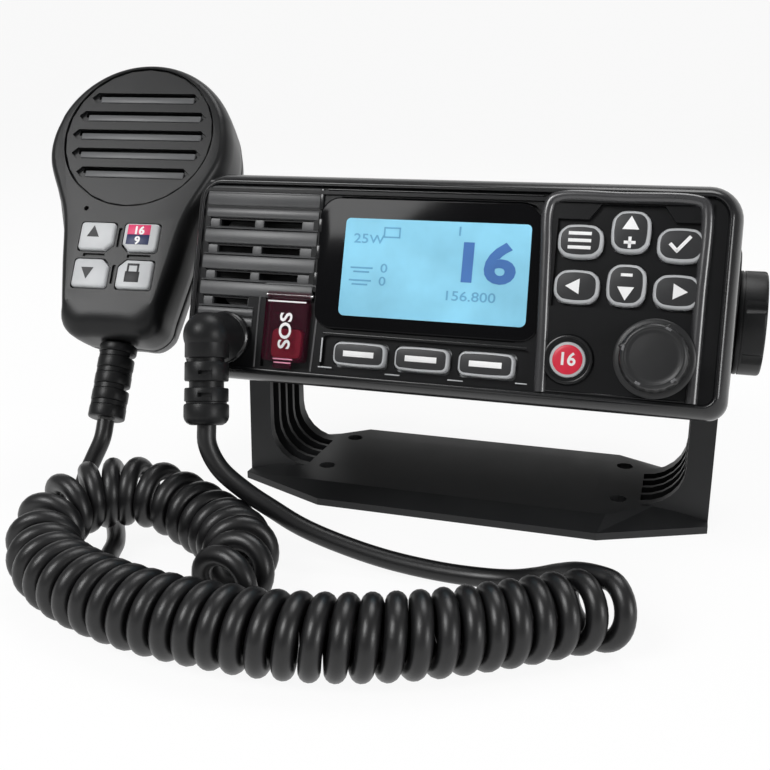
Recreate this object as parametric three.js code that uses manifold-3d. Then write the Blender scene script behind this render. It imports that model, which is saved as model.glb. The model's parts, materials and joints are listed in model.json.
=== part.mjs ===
// Fixed-mount marine VHF radio on its U bracket, with a handset on a curly cord.
// Millimetres, +Z up. The origin is on the bracket's underside, straight below the tilt axis.
// The radio's own pieces are placed from the tilt axis, y to the rear and z up, before it leans back.
// The handset's own pieces are placed from the centre of its grille, y to the rear and z to its head.
import * as THREE from 'three';
import { mergeVertices } from 'three/addons/utils/BufferGeometryUtils.js';
import Module from 'manifold-3d';

const wasm = await Module();
wasm.setup();

// Clearances and counts that all pieces share
const gap = 0.3;
const overrun = 1;
const cornerSteps = 3;
const fluteSteps = 6;
const largeRoundSteps = 24;
const roundSteps = 16;
const smallRoundSteps = 10;

// Pose of the radio and of the handset
const tiltAxisHeight = 66.4;
const leanBackDegrees = 18.06;
const handsetSpacing = 29.8;
const handsetForward = 13.1;
const handsetHeight = 123.6;
const handsetTiltDegrees = 32.7;
const handsetRollDegrees = 0.8;
const handsetYawDegrees = 8.7;

// Bracket: base plate, skirt, arms with ribs, heads and screw holes
const armThickness = 8.2;
const armFootHalfDepth = 17;
const armHeadHalfDepth = 15;
const armHeadReach = 24;
const armHeadRound = 8;
const baseThickness = 6;
const baseLipHeight = 2.5;
const baseFrontInset = 26;
const baseHalfDepth = 37;
const baseTipHalfDepth = 21;
const platformFrontInset = 24;
const platformHalfDepth = 29;
const platformTipInset = 8;
const platformTipHalfDepth = 15;
const armCornerRadius = 14;
const armGrooveDepth = 4.2;
const armGrooveTop = 46;
const armRibThickness = 1.7;
const armRibCount = 4;
const armPadThickness = 2.5;
const armPadDrop = 19;
const screwHoleInset = 21.25;
const screwHoleFrontRow = 14.25;
const screwHoleBackRow = 17.6;
const screwHoleRadius = 3;

// Side knobs with their studs, and the friction washers
const sideKnobRadius = 16.9;
const sideKnobThickness = 8.7;
const sideKnobBevel = 0.9;
const sideKnobNotchCount = 6;
const sideKnobNotchRadius = 2.4;
const sideKnobNotchDepth = 1.1;
const sideKnobNotchStart = 2.4;
const studRadius = 3;
const studDepthInChassis = 7;
const washerThickness = 2.9;
const washerRadius = 13;

// Front bezel: stations are distances in front of the tilt axis
const bezelWidth = 165;
const bezelHeight = 64.8;
const bezelDrop = 1;
const bezelTopRound = 9.5;
const bezelBottomRound = 5.5;
const bezelRearStation = 38;
const bezelFlankStation = 50;
const bezelWidestStation = 52.8;
const bezelShoulderStation = 57.5;
const bezelCrestStation = 60;
const bezelRearInset = 2;
const bezelFlankInset = 0.3;
const bezelShoulderInset = 1.2;
const bezelCrestInset = 2.9;
const bezelWall = 2.4;
const panelStation = 59.2;
const channelStation = 58.5;
const recessStation = 57.8;
const wallBackStation = 55.6;
const ridgeWidth = 1;
const channelWidth = 4.3;
const topChannelHeight = 1.5;
const innerRidgeWidth = 1.1;

// Louvred speaker opening at the left of the panel
const louvreMargin = 2.2;
const louvreFieldWidth = 34.9;
const louvreTopRow = 15.1;
const louvrePitch = 8.2;
const louvreCount = 4;
const louvreSlotHeight = 2.2;
const louvreLedge = 1.4;
const louvreSlotLength = 12.6;
const louvreSlotSpacing = 15.3;
const louvreSlotMargin = 3;

// Display window, its pocket and the glass module behind it
const windowLeftMargin = 3.5;
const windowHeight = 40;
const windowRightMargin = 0.7;
const windowRaise = 4.2;
const windowRound = 6;
const windowThickness = 2.2;
const windowProud = 0.3;
const viewMargin = 4.8;
const viewHeight = 30;
const viewShift = 2.2;
const viewRaise = 3.2;
const lcdMargin = 1.6;
const lcdThickness = 2;

// Ridge that divides the display from the keypad
const dividerTop = 24;
const dividerBottom = 28.4;
const dividerSlant = 2.2;
const dividerSpacing = 21.5;
const dividerWidth = 1.3;
const dividerProud = 0.8;

// Keypad: two middle keys and four side keys in a sunk field with a hump
const keypadMargin = 20.2;
const keypadPitch = 13.6;
const upperKeyRow = 13.8;
const lowerKeyRow = 0.9;
const upKeyRow = 17;
const downKeyRow = 2;
const sideKeyWidth = 12.8;
const sideKeyHeight = 9.8;
const middleKeyWidth = 10.9;
const middleKeyHeight = 12;
const keyRound = 2.6;
const keyBulge = 0.6;
const keyTopStation = 60.2;
const keyLip = 0.65;
const keyFlangeThickness = 1;
const keypadFieldHalf = 20.4;
const keypadFieldTop = 20.2;
const keypadFieldBottom = 4.7;
const keypadHumpTop = 24.6;
const keypadHumpHalf = 8.6;
const keypadHumpSlope = 3.2;

// Soft keys below the display
const softKeyCount = 3;
const softKeySpacing = 2.7;
const softKeyHeight = 7.4;
const softKeyMargin = 2.85;
const softKeyShift = 1.1;
const softKeyDrop = 23.1;
const softKeyRound = 1.6;
const softFieldInset = 1.5;
const softFieldHeight = 10.6;
const softFieldRound = 2;

// Round channel key and the volume knob with its encoder
const channelKeySpacing = 14.2;
const channelKeyDrop = 19.8;
const channelKeyRadius = 5;
const channelKeyTopStation = 60.6;
const channelRingRadius = 7;
const channelRingProud = 0.9;
const knobSpacing = 9.2;
const knobDrop = 17.8;
const knobSkirtRadius = 11;
const knobSkirtThickness = 1.6;
const knobRadius = 9.2;
const knobNoseRadius = 7.4;
const knobDishRadius = 5.8;
const knobDishDepth = 0.7;
const knobFrontStation = 71;
const knobBackStation = 60.1;
const knobRound = 1.6;
const knobFluteCount = 12;
const knobFluteRadius = 1.1;
const knobPush = 0.5;
const shaftRadius = 3;
const shaftFrontStation = 66;
const encoderWidth = 12;
const encoderBackStation = 48.5;
const shaftBackStation = 50;

// Distress key below its hinged cover
const distressMargin = 31.7;
const distressFieldWidth = 16;
const distressFieldTop = 4.9;
const distressFieldBottom = 28.9;
const distressKeyWidth = 9.6;
const distressKeyHeight = 9;
const distressKeyDrop = 21.4;
const distressKeyTopStation = 59.4;
const coverWidth = 13.9;
const coverTop = 8;
const coverBottom = 27;
const coverFrontStation = 61.4;
const coverFrontWall = 1.2;
const coverSideWall = 1.1;
const coverRound = 1.4;
const coverLipWidth = 5.6;
const coverLipLength = 2.2;
const hingeDrop = 6.6;
const hingeStation = 59.5;
const hingeBarrelRadius = 1.25;
const hingePinRadius = 0.5;
const hingeWebThickness = 1.2;

// Handset socket on the panel and the plug's elbow boot
const socketMargin = 11.6;
const socketDrop = 21;
const socketRadius = 6;
const socketFlangeRadius = 8.2;
const socketFlangeThickness = 2.5;
const socketBackStation = 46;
const bootRadius = 8.4;
const bootElbowStation = 70.8;
const bootArmRadius = 6.9;
const bootArmLength = 27.2;
const bootArmLeanDegrees = 5.5;
const bootDomeEnd = 7.6;
const bootGrooveDepth = 1;
const bootGrooveHeight = 1.1;
const bootWaistGrooveHeight = 1.7;
const bootWaist = 14.2;
const bootCollar = 20.8;
const bootCollarRadius = 7.2;
const bootCollarRound = 2.2;
const bootSlotRows = [11, 17.6];
const bootSlotLength = 8;
const bootSlotHeight = 1.2;
const bootSlotDepth = 1.4;

// Die-cast chassis with cooling fins, bosses and rear openings
const chassisInset = 12;
const chassisTop = 29;
const chassisBottom = 31.5;
const chassisRearStation = 62;
const chassisRound = 5;
const chassisWall = 2.6;
const finCount = 9;
const finGrooveWidth = 4.2;
const finGrooveDepth = 3;
const finPitch = 11.6;
const finStart = 6;
const flangeThickness = 3;
const sealThickness = 1.2;
const flangeInset = 0.6;
const sideBossRadius = 9;
const screwBossRadius = 3.4;
const screwRadius = 1.5;
const screwHeadRadius = 2.7;
const screwHeadThickness = 1.8;
const screwLength = 12;
const screwInset = 7.5;
const screwUpperRow = 23;
const screwLowerRow = 27;

// Boards, shield can and loudspeaker inside
const boardThickness = 1.6;
const frontBoardInset = 3.2;
const frontBoardOverlap = 2;
const frontBoardTop = 25;
const frontBoardBottom = 28.6;
const frontBoardTabLength = 18.4;
const frontBoardTabTop = 16.4;
const mainBoardMargin = 3.5;
const mainBoardFront = 39;
const mainBoardBack = 50.6;
const mainBoardDrop = 14;
const boardPostRadius = 3;
const boardPostInset = 6;
const shieldWidth = 62;
const shieldDepth = 44;
const shieldHeight = 8;
const shieldWall = 0.8;
const shieldPlace = 12;
const shieldBack = 14;
const speakerMargin = 20.6;
const speakerRaise = 4;
const speakerRadius = 18;
const speakerDepth = 13;
const speakerRimThickness = 2.4;
const speakerMagnetRadius = 9.5;
const speakerMagnetThickness = 5;

// Rear sockets and the supply gland
const antennaRadius = 7.9;
const antennaCollar = 10;
const antennaReach = 17;
const antennaDrop = 4;
const gpsRadius = 5.2;
const gpsCollar = 7;
const gpsReach = 9;
const networkRadius = 6.6;
const networkCollar = 8.4;
const networkReach = 10;
const dataSocketDrop = 6;
const glandRadius = 6.8;
const glandCollar = 9;
const glandReach = 13;
const glandDrop = 8;
const antennaMargin = 26.5;
const glandMargin = 28.5;
const rearSocketSpaceCount = 3;
const rearCollarThickness = 2.2;
const rearSocketBore = 2.3;
const rearSocketInside = 5;
const rearBevel = 0.8;

// Handset shells: stations are distances behind the grille's face
const headRadius = 34;
const headDrop = 2.9;
const headArcDegrees = 10.6;
const neckHalf = 24.7;
const neckDrop = 30;
const waistHalf = 21.1;
const waistDrop = 50;
const heelHalf = 18.6;
const heelDrop = 64;
const heelRoundHalf = 17.6;
const heelRoundDrop = 70.8;
const heelBottomHalf = 13.2;
const handsetBottom = 74.6;
const chinSlope = 1.25;
const shellFaceInset = 3.6;
const shellEdgeInset = 1.2;
const shellEdgeStation = 2;
const shellWidestStation = 7;
const shellPartInset = 0.8;
const shellPartStation = 20;
const shellRearStation = 30.5;
const shellRearInset = 3.2;
const shellBackStation = 35.6;
const shellBackInset = 9;
const shellWall = 2.4;
const headArcSteps = 16;

// Handset grille, keys, lever, hanging button and inner pieces
const grilleRadius = 27.5;
const grilleThickness = 2.2;
const grilleSeatDepth = 2.6;
const grilleSlotTop = 15.4;
const grilleSlotPitch = 7.5;
const grilleSlotHalfLengths = [20.4, 24, 25.2, 24.2, 21];
const grilleSlotHeight = 4.2;
const grilleOpeningHeight = 1.9;
const grilleLedgeDepth = 1.3;
const grilleOpeningRadius = 24.4;
const grilleSeatRadius = 28.6;
const handsetKeyWidth = 12.6;
const handsetKeyHeight = 10.5;
const handsetKeyHalfSpan = 8;
const handsetKeyUpperDrop = 39.8;
const handsetKeyLowerDrop = 53.6;
const handsetKeyRound = 2;
const handsetKeyProud = 1;
const handsetKeyClip = 2.6;
const leverTop = 9.4;
const leverBottom = 36;
const leverFront = 8.4;
const leverBack = 17.4;
const leverProud = 1.3;
const leverThickness = 3.4;
const leverClearance = 0.5;
const leverTravel = 1.5;
const leverPivotRadius = 0.8;
const leverPivotLength = 1.6;
const leverPivotDrop = 11.2;
const leverPivotDepth = 1.1;
const hangButtonRadius = 8;
const hangButtonNeckRadius = 4.6;
const hangButtonProud = 7;
const hangButtonHeadThickness = 2.6;
const hangButtonDrop = 14;
const hangSpigot = 2;
const micHoleRadius = 0.9;
const micPlace = -14.2;
const micDrop = 29;
const micRadius = 3.2;
const micThickness = 3.4;
const handsetSpeakerRadius = 20;
const handsetSpeakerDepth = 9;
const handsetSpeakerMagnetRadius = 9;
const handsetBoardStation = 7.2;
const handsetBoardHalfWidth = 12.6;
const handsetBoardTop = 33;
const handsetBoardBottom = 66;
const handsetPostRadius = 2.2;
const handsetPostHalfSpan = 8;
const handsetPostInset = 3;

// Strain relief below the handset
const reliefPlace = 0.5;
const reliefStation = 14;
const reliefNeckRadius = 4.2;
const reliefNeckLength = 5;
const reliefCollarRadius = 6.4;
const reliefCollarLength = 3.4;
const reliefRingRadius = 6.1;
const reliefWaistRadius = 4.3;
const reliefRingCount = 4;
const reliefEnd = 101.5;

// Cord: plain leads and the curly length between them
const leadDiameter = 5.8;
const curlWireDiameter = 5.4;
const curlMeanRadius = 8.25;
const curlPitch = 5.95;
const curlSteps = 8;
const curlSides = 5;
const leadSides = 8;
const leadStepDiameters = 2;
const crossingPitch = 14;
const crossingReach = 9;
const crossingLift = 3;

// Colours
const darkShell = { color: 0x26282a, roughness: 0.55, metalness: 0 };
const glossBlack = { color: 0x0d0e10, roughness: 0.15, metalness: 0 };
const satinPlastic = { color: 0x2d2f31, roughness: 0.6, metalness: 0 };
const castMetal = { color: 0x1d1e20, roughness: 0.6, metalness: 0.4 };
const greyKey = { color: 0xb9bcbd, roughness: 0.45, metalness: 0 };
const redKey = { color: 0xc01f2e, roughness: 0.35, metalness: 0 };
const redCover = { color: 0x4a0d1c, roughness: 0.15, metalness: 0 };
const blackRubber = { color: 0x17181a, roughness: 0.75, metalness: 0 };
const steel = { color: 0xa5a7a9, roughness: 0.35, metalness: 0.9 };
const brass = { color: 0xb08d48, roughness: 0.35, metalness: 0.9 };
const blueGlass = { color: 0x77b4d6, roughness: 0.2, metalness: 0 };
const boardGreen = { color: 0x1f5a38, roughness: 0.6, metalness: 0 };

// Closed solids from three.js geometry, and joins and cuts between them
function signedVolume(positions, index) {
  const [a, b, c] = [new THREE.Vector3(), new THREE.Vector3(), new THREE.Vector3()];
  let sum = 0;
  for (let i = 0; i < index.length; i += 3) {
    a.fromBufferAttribute(positions, index[i]);
    b.fromBufferAttribute(positions, index[i + 1]);
    c.fromBufferAttribute(positions, index[i + 2]);
    sum += a.dot(b.cross(c));
  }
  return sum;
}

function solidOf(geometry) {
  const bare = geometry.clone();
  bare.deleteAttribute('normal');
  bare.deleteAttribute('uv');
  const merged = mergeVertices(bare);
  const vertProperties = new Float32Array(merged.attributes.position.array);
  const triVerts = new Uint32Array(merged.index.array);
  if (signedVolume(merged.attributes.position, triVerts) < 0) {
    triVerts.reverse();
  }
  return new wasm.Manifold(new wasm.Mesh({ numProp: 3, vertProperties, triVerts }));
}

function geometryOf(solid) {
  const { vertProperties, triVerts } = solid.getMesh();
  const geometry = new THREE.BufferGeometry();
  geometry.setAttribute('position', new THREE.BufferAttribute(vertProperties, 3));
  geometry.setIndex(new THREE.BufferAttribute(triVerts, 1));
  geometry.computeVertexNormals();
  return geometry;
}

function join(...geometries) {
  return geometryOf(geometries.map(solidOf).reduce((whole, piece) => whole.add(piece)));
}

function cut(geometry, ...tools) {
  return geometryOf(tools.map(solidOf).reduce((whole, tool) => whole.subtract(tool), solidOf(geometry)));
}

function common(geometry, other) {
  return geometryOf(solidOf(geometry).intersect(solidOf(other)));
}

// Outlines
function polygon(points) {
  return new THREE.Shape(points.map(([x, y]) => new THREE.Vector2(x, y)));
}

function roundedOutline(width, height, topRound, bottomRound, x, y) {
  const corners = [
    { side: 1, level: 1, round: topRound, turn: 0 },
    { side: -1, level: 1, round: topRound, turn: 1 },
    { side: -1, level: -1, round: bottomRound, turn: 2 },
    { side: 1, level: -1, round: bottomRound, turn: 3 },
  ];
  return corners.flatMap(({ side, level, round, turn }) => {
    const points = [];
    for (let step = 0; step <= cornerSteps; step += 1) {
      const angle = (turn + step / cornerSteps) * Math.PI / 2;
      points.push(new THREE.Vector2(
        x + side * (width / 2 - round) + round * Math.cos(angle),
        y + level * (height / 2 - round) + round * Math.sin(angle),
      ));
    }
    return points;
  });
}

function roundedShape(width, height, round, x, y) {
  return new THREE.Shape(roundedOutline(width, height, round, round, x, y));
}

function barrelShape(width, height, round, bulge, x, y) {
  const right = width / 2 - bulge;
  const top = height / 2 - bulge;
  const shape = new THREE.Shape();
  shape.moveTo(x + right - round, y + top);
  shape.quadraticCurveTo(x, y + top + 2 * bulge, x - right + round, y + top);
  shape.quadraticCurveTo(x - right, y + top, x - right, y + top - round);
  shape.quadraticCurveTo(x - right - 2 * bulge, y, x - right, y - top + round);
  shape.quadraticCurveTo(x - right, y - top, x - right + round, y - top);
  shape.quadraticCurveTo(x, y - top - 2 * bulge, x + right - round, y - top);
  shape.quadraticCurveTo(x + right, y - top, x + right, y - top + round);
  shape.quadraticCurveTo(x + right + 2 * bulge, y, x + right, y + top - round);
  shape.quadraticCurveTo(x + right, y + top, x + right - round, y + top);
  return shape;
}

function circleShape(radius, x, y) {
  return new THREE.Shape().absarc(x, y, radius, 0, 2 * Math.PI);
}

// A shape drawn across and up, extruded from a near to a far distance behind the reference plane
function slab(shape, near, far, curveSegments = cornerSteps) {
  const geometry = new THREE.ExtrudeGeometry(
    shape,
    { depth: far - near, bevelEnabled: false, curveSegments },
  );
  return geometry.rotateX(Math.PI / 2).translate(0, far, 0);
}

// A shape drawn to the rear and up, extruded from one distance across to another
function sideSlab(shape, left, right) {
  const depth = right - left;
  const geometry = new THREE.ExtrudeGeometry(
    shape,
    { depth, bevelEnabled: false, curveSegments: cornerSteps },
  );
  const turn = new THREE.Matrix4().makeBasis(
    new THREE.Vector3(0, 1, 0),
    new THREE.Vector3(0, 0, 1),
    new THREE.Vector3(1, 0, 0),
  );
  return geometry.applyMatrix4(turn).translate(left, 0, 0);
}

// Walls between outlines of one point count, with a cap at each end, stacked up z
function loft(sections) {
  const ring = sections[0].outline.length;
  const positions = sections.flatMap(({ outline, at }) => outline.flatMap(({ x, y }) => [x, y, at]));
  const index = [];
  for (let level = 0; level < sections.length - 1; level += 1) {
    for (let i = 0; i < ring; i += 1) {
      const a = level * ring + i;
      const b = level * ring + (i + 1) % ring;
      index.push(a, b, b + ring, a, b + ring, a + ring);
    }
  }
  const last = (sections.length - 1) * ring;
  for (const [a, b, c] of THREE.ShapeUtils.triangulateShape(sections[0].outline, [])) {
    index.push(c, b, a, last + a, last + b, last + c);
  }
  const geometry = new THREE.BufferGeometry();
  geometry.setAttribute('position', new THREE.Float32BufferAttribute(positions, 3));
  geometry.setIndex(index);
  return geometry;
}

// The same with its stations measured to the rear
function loftBack(sections) {
  const stacked = sections.map(({ outline, at }) => ({ outline, at: -at })).reverse();
  return loft(stacked).rotateX(Math.PI / 2);
}

// A profile of [radius, distance to the rear] turned about a line to the rear
function turned(profile, x, z, steps = roundSteps) {
  const points = profile.map(([radius, y]) => new THREE.Vector2(radius, y));
  return new THREE.LatheGeometry(points, steps).translate(x, 0, z);
}

function rod(radius, near, far, x, z, steps = roundSteps) {
  return turned([[0, near], [radius, near], [radius, far], [0, far]], x, z, steps);
}

// A rod that runs across, from one side distance to another
function crossRod(radius, left, right, y, z, steps = roundSteps) {
  return rod(radius, left, right, 0, 0, steps).rotateZ(-Math.PI / 2).translate(0, y, z);
}

// A rod that stands up
function post(radius, low, high, x, y, steps = smallRoundSteps) {
  return rod(radius, low, high, 0, 0, steps).rotateX(Math.PI / 2).translate(x, y, 0);
}

function block(left, right, near, far, low, high) {
  const geometry = new THREE.BoxGeometry(right - left, far - near, high - low);
  return geometry.translate((left + right) / 2, (near + far) / 2, (low + high) / 2);
}

function named(name, geometry, look) {
  const mesh = new THREE.Mesh(geometryOf(solidOf(geometry)), new THREE.MeshStandardMaterial(look));
  mesh.name = name;
  return mesh;
}

// Places that follow from the front's outline, from its edges inwards
const chassisHalfWidth = bezelWidth / 2 - chassisInset;
const screwPlace = bezelWidth / 2 - screwInset;
const bezelRight = bezelWidth / 2 - bezelCrestInset - ridgeWidth;
const bezelTop = bezelHeight / 2 - bezelDrop - bezelCrestInset - ridgeWidth;
const bezelBottom = bezelHeight / 2 + bezelDrop - bezelCrestInset - ridgeWidth;
const panelRight = bezelRight - channelWidth - innerRidgeWidth;
const panelTop = bezelTop - topChannelHeight - innerRidgeWidth;
const louvreLeft = bezelRight - louvreMargin;
const louvreRight = louvreLeft - louvreFieldWidth;
const louvreFirstSlot = louvreLeft - louvreSlotMargin - louvreSlotLength / 2;
const keypadCentre = panelRight - keypadMargin;
const channelKeyPlace = keypadCentre - channelKeySpacing;
const knobPlace = keypadCentre + knobSpacing;
const dividerBottomPlace = keypadCentre - dividerSpacing;
const dividerTopPlace = dividerBottomPlace - dividerSlant;
const windowLeft = windowLeftMargin - louvreRight;
const windowRight = dividerTopPlace - windowRightMargin;
const windowWidth = windowRight - windowLeft;
const windowCentre = (windowRight + windowLeft) / 2;
const viewWidth = windowWidth - 2 * viewMargin;
const viewCentre = windowCentre + viewShift;
const softFieldWidth = windowWidth - 2 * softFieldInset;
const softKeyCentre = windowCentre + softKeyShift;
const softKeyPitch = (softFieldWidth - 2 * softKeyMargin) / softKeyCount;
const softKeyWidth = softKeyPitch - softKeySpacing;
const socketPlace = socketMargin - bezelRight;
const distressPlace = distressMargin - bezelRight;
const speakerPlace = speakerMargin - bezelRight;
const frontBoardRight = panelRight - frontBoardInset;
const frontBoardLeft = frontBoardOverlap + windowLeft;
const frontBoardTabLeft = frontBoardLeft - frontBoardTabLength - frontBoardOverlap;
const mainBoardHalf = chassisHalfWidth - studDepthInChassis - mainBoardMargin;
const antennaPlace = antennaMargin - chassisHalfWidth;
const glandPlace = chassisHalfWidth - glandMargin;
const rearSocketPitch = (glandPlace - antennaPlace) / rearSocketSpaceCount;
const rearSockets = [
  { name: 'antenna_socket', place: antennaPlace, drop: antennaDrop, radius: antennaRadius,
    collar: antennaCollar, reach: antennaReach },
  { name: 'gps_socket', place: antennaPlace + rearSocketPitch, drop: dataSocketDrop, radius: gpsRadius,
    collar: gpsCollar, reach: gpsReach },
  { name: 'network_socket', place: glandPlace - rearSocketPitch, drop: dataSocketDrop, radius: networkRadius,
    collar: networkCollar, reach: networkReach },
  { name: 'power_gland', place: glandPlace, drop: glandDrop, radius: glandRadius,
    collar: glandCollar, reach: glandReach },
];

// Bracket
const armInner = chassisHalfWidth + washerThickness + 2 * gap;
const armOuter = armInner + armThickness;
const padOuter = armOuter + armPadThickness;

function octagon(frontHalf, halfDepth, tipHalf, tipHalfDepth) {
  return [
    [frontHalf, -halfDepth], [tipHalf, -tipHalfDepth], [tipHalf, tipHalfDepth], [frontHalf, halfDepth],
    [-frontHalf, halfDepth], [-tipHalf, tipHalfDepth], [-tipHalf, -tipHalfDepth], [-frontHalf, -halfDepth],
  ].map(([x, y]) => new THREE.Vector2(x, y));
}

function bracketBase() {
  const floor = octagon(armInner - baseFrontInset, baseHalfDepth, armOuter, baseTipHalfDepth);
  const platform = octagon(
    armInner - platformFrontInset,
    platformHalfDepth,
    armInner - platformTipInset,
    platformTipHalfDepth,
  );
  return loft([
    { outline: floor, at: 0 },
    { outline: floor, at: baseLipHeight },
    { outline: platform, at: baseThickness },
  ]);
}

// Both arms and the corners that they spring from, seen from the front
function armProfile(top) {
  const shape = new THREE.Shape();
  const cornerPlace = armInner - armCornerRadius;
  const cornerLevel = baseThickness + armCornerRadius;
  shape.moveTo(-armOuter, 0);
  shape.lineTo(armOuter, 0);
  shape.lineTo(armOuter, top);
  shape.lineTo(armInner, top);
  shape.lineTo(armInner, cornerLevel);
  shape.absarc(cornerPlace, cornerLevel, armCornerRadius, 0, -Math.PI / 2, true);
  shape.lineTo(-cornerPlace, baseThickness);
  shape.absarc(-cornerPlace, cornerLevel, armCornerRadius, -Math.PI / 2, -Math.PI, true);
  shape.lineTo(-armInner, top);
  shape.lineTo(-armOuter, top);
  return shape;
}

// The arm seen from the side, from the floor to its rounded head
function headShape(low, lowHalfDepth) {
  const top = tiltAxisHeight + armHeadReach;
  const shape = new THREE.Shape();
  shape.moveTo(-lowHalfDepth, low);
  shape.lineTo(lowHalfDepth, low);
  shape.lineTo(armHeadHalfDepth, tiltAxisHeight);
  shape.lineTo(armHeadHalfDepth, top - armHeadRound);
  shape.absarc(armHeadHalfDepth - armHeadRound, top - armHeadRound, armHeadRound, 0, Math.PI / 2);
  shape.absarc(armHeadRound - armHeadHalfDepth, top - armHeadRound, armHeadRound, Math.PI / 2, Math.PI);
  shape.lineTo(-armHeadHalfDepth, tiltAxisHeight);
  return shape;
}

// The hollow between two ribs, down the arm's inner face and round the corner
function grooveShape(side) {
  const place = armInner - armCornerRadius;
  const level = baseThickness + armCornerRadius;
  const reach = armCornerRadius + armGrooveDepth;
  const points = [[place, armGrooveTop], [place + reach, armGrooveTop]];
  for (let step = 0; step <= cornerSteps; step += 1) {
    const angle = step / cornerSteps * Math.PI / 2;
    points.push([place + reach * Math.cos(angle), level - reach * Math.sin(angle)]);
  }
  return polygon(points.map(([x, z]) => [side * x, z]));
}

function bracket() {
  const top = tiltAxisHeight + armHeadReach;
  const arms = common(
    slab(armProfile(top + overrun), -baseHalfDepth, baseHalfDepth),
    sideSlab(headShape(0, armFootHalfDepth), -armOuter - overrun, armOuter + overrun),
  );
  const pad = headShape(tiltAxisHeight - armPadDrop, armHeadHalfDepth);
  const solid = join(
    bracketBase(),
    arms,
    sideSlab(pad, armInner, padOuter),
    sideSlab(pad, -padOuter, -armInner),
  );
  const tools = [crossRod(studRadius + gap, -padOuter - overrun, padOuter + overrun, 0, tiltAxisHeight)];
  const ribPitch = 2 * (armHeadHalfDepth - armRibThickness) / armRibCount;
  for (let rib = 0; rib < armRibCount; rib += 1) {
    const near = armRibThickness - armHeadHalfDepth + rib * ribPitch;
    const far = near + ribPitch - armRibThickness;
    tools.push(slab(grooveShape(1), near, far), slab(grooveShape(-1), near, far));
  }
  for (const side of [-1, 1]) {
    for (const row of [-screwHoleFrontRow, screwHoleBackRow]) {
      const place = side * (armInner - screwHoleInset);
      tools.push(post(screwHoleRadius, -overrun, baseThickness + overrun, place, row));
    }
  }
  return cut(solid, ...tools);
}

// Clamping knob with its stud, on the right (1) or the left (-1)
function sideKnob(side) {
  const inner = padOuter + gap;
  const outer = inner + sideKnobThickness;
  const studEnd = chassisHalfWidth - studDepthInChassis;
  const profile = [
    [0, studEnd], [studRadius, studEnd], [studRadius, inner], [sideKnobRadius, inner],
    [sideKnobRadius, outer - sideKnobBevel], [sideKnobRadius - sideKnobBevel, outer], [0, outer],
  ];
  const notches = [];
  for (let notch = 0; notch < sideKnobNotchCount; notch += 1) {
    const angle = (notch + 1 / 2) * 2 * Math.PI / sideKnobNotchCount;
    const reach = sideKnobRadius + sideKnobNotchRadius - sideKnobNotchDepth;
    notches.push(rod(
      sideKnobNotchRadius,
      inner + sideKnobNotchStart,
      outer + overrun,
      reach * Math.cos(angle),
      reach * Math.sin(angle),
      smallRoundSteps,
    ));
  }
  const knob = cut(turned(profile, 0, 0, largeRoundSteps), ...notches);
  return knob.rotateZ(-side * Math.PI / 2).translate(0, 0, tiltAxisHeight);
}

function frictionWasher(side) {
  const inner = side * (chassisHalfWidth + gap);
  const outer = inner + side * washerThickness;
  const [left, right] = [Math.min(inner, outer), Math.max(inner, outer)];
  return cut(
    crossRod(washerRadius, left, right, 0, 0),
    crossRod(studRadius + gap, left - overrun, right + overrun, 0, 0),
  );
}

// Bezel: the moulded front of the radio
function bezelOutline(inset) {
  return roundedOutline(
    bezelWidth - 2 * inset,
    bezelHeight - 2 * inset,
    bezelTopRound - inset,
    bezelBottomRound - inset / 2,
    0,
    -bezelDrop,
  );
}

const flangeBackStation = bezelRearStation - sealThickness - flangeThickness - 2 * gap;

function screwPlaces() {
  return [[-1, screwUpperRow], [1, screwUpperRow], [-1, -screwLowerRow], [1, -screwLowerRow]]
    .map(([side, z]) => ({ x: side * screwPlace, z }));
}

function keypadKeys() {
  const side = { width: sideKeyWidth, height: sideKeyHeight };
  const middle = { width: middleKeyWidth, height: middleKeyHeight };
  return [
    { name: 'menu_key', x: keypadCentre - keypadPitch, z: upperKeyRow, ...side },
    { name: 'channel_up_key', x: keypadCentre, z: upKeyRow, ...middle },
    { name: 'enter_key', x: keypadCentre + keypadPitch, z: upperKeyRow, ...side },
    { name: 'left_key', x: keypadCentre - keypadPitch, z: lowerKeyRow, ...side },
    { name: 'channel_down_key', x: keypadCentre, z: downKeyRow, ...middle },
    { name: 'right_key', x: keypadCentre + keypadPitch, z: lowerKeyRow, ...side },
  ];
}

function softKeys() {
  return [-1, 0, 1].map((turn) => ({
    name: `soft_key_${turn + 2}`,
    x: softKeyCentre + turn * softKeyPitch,
    z: -softKeyDrop,
  }));
}

function keypadField() {
  const left = keypadCentre - keypadFieldHalf;
  const right = panelRight - gap;
  const points = [
    [left, -keypadFieldBottom], [right, -keypadFieldBottom], [right, keypadFieldTop],
    [keypadCentre + keypadHumpHalf + keypadHumpSlope, keypadFieldTop],
    [keypadCentre + keypadHumpHalf, keypadHumpTop], [keypadCentre - keypadHumpHalf, keypadHumpTop],
    [keypadCentre - keypadHumpHalf - keypadHumpSlope, keypadFieldTop], [left, keypadFieldTop],
  ];
  return polygon(points);
}

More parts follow.
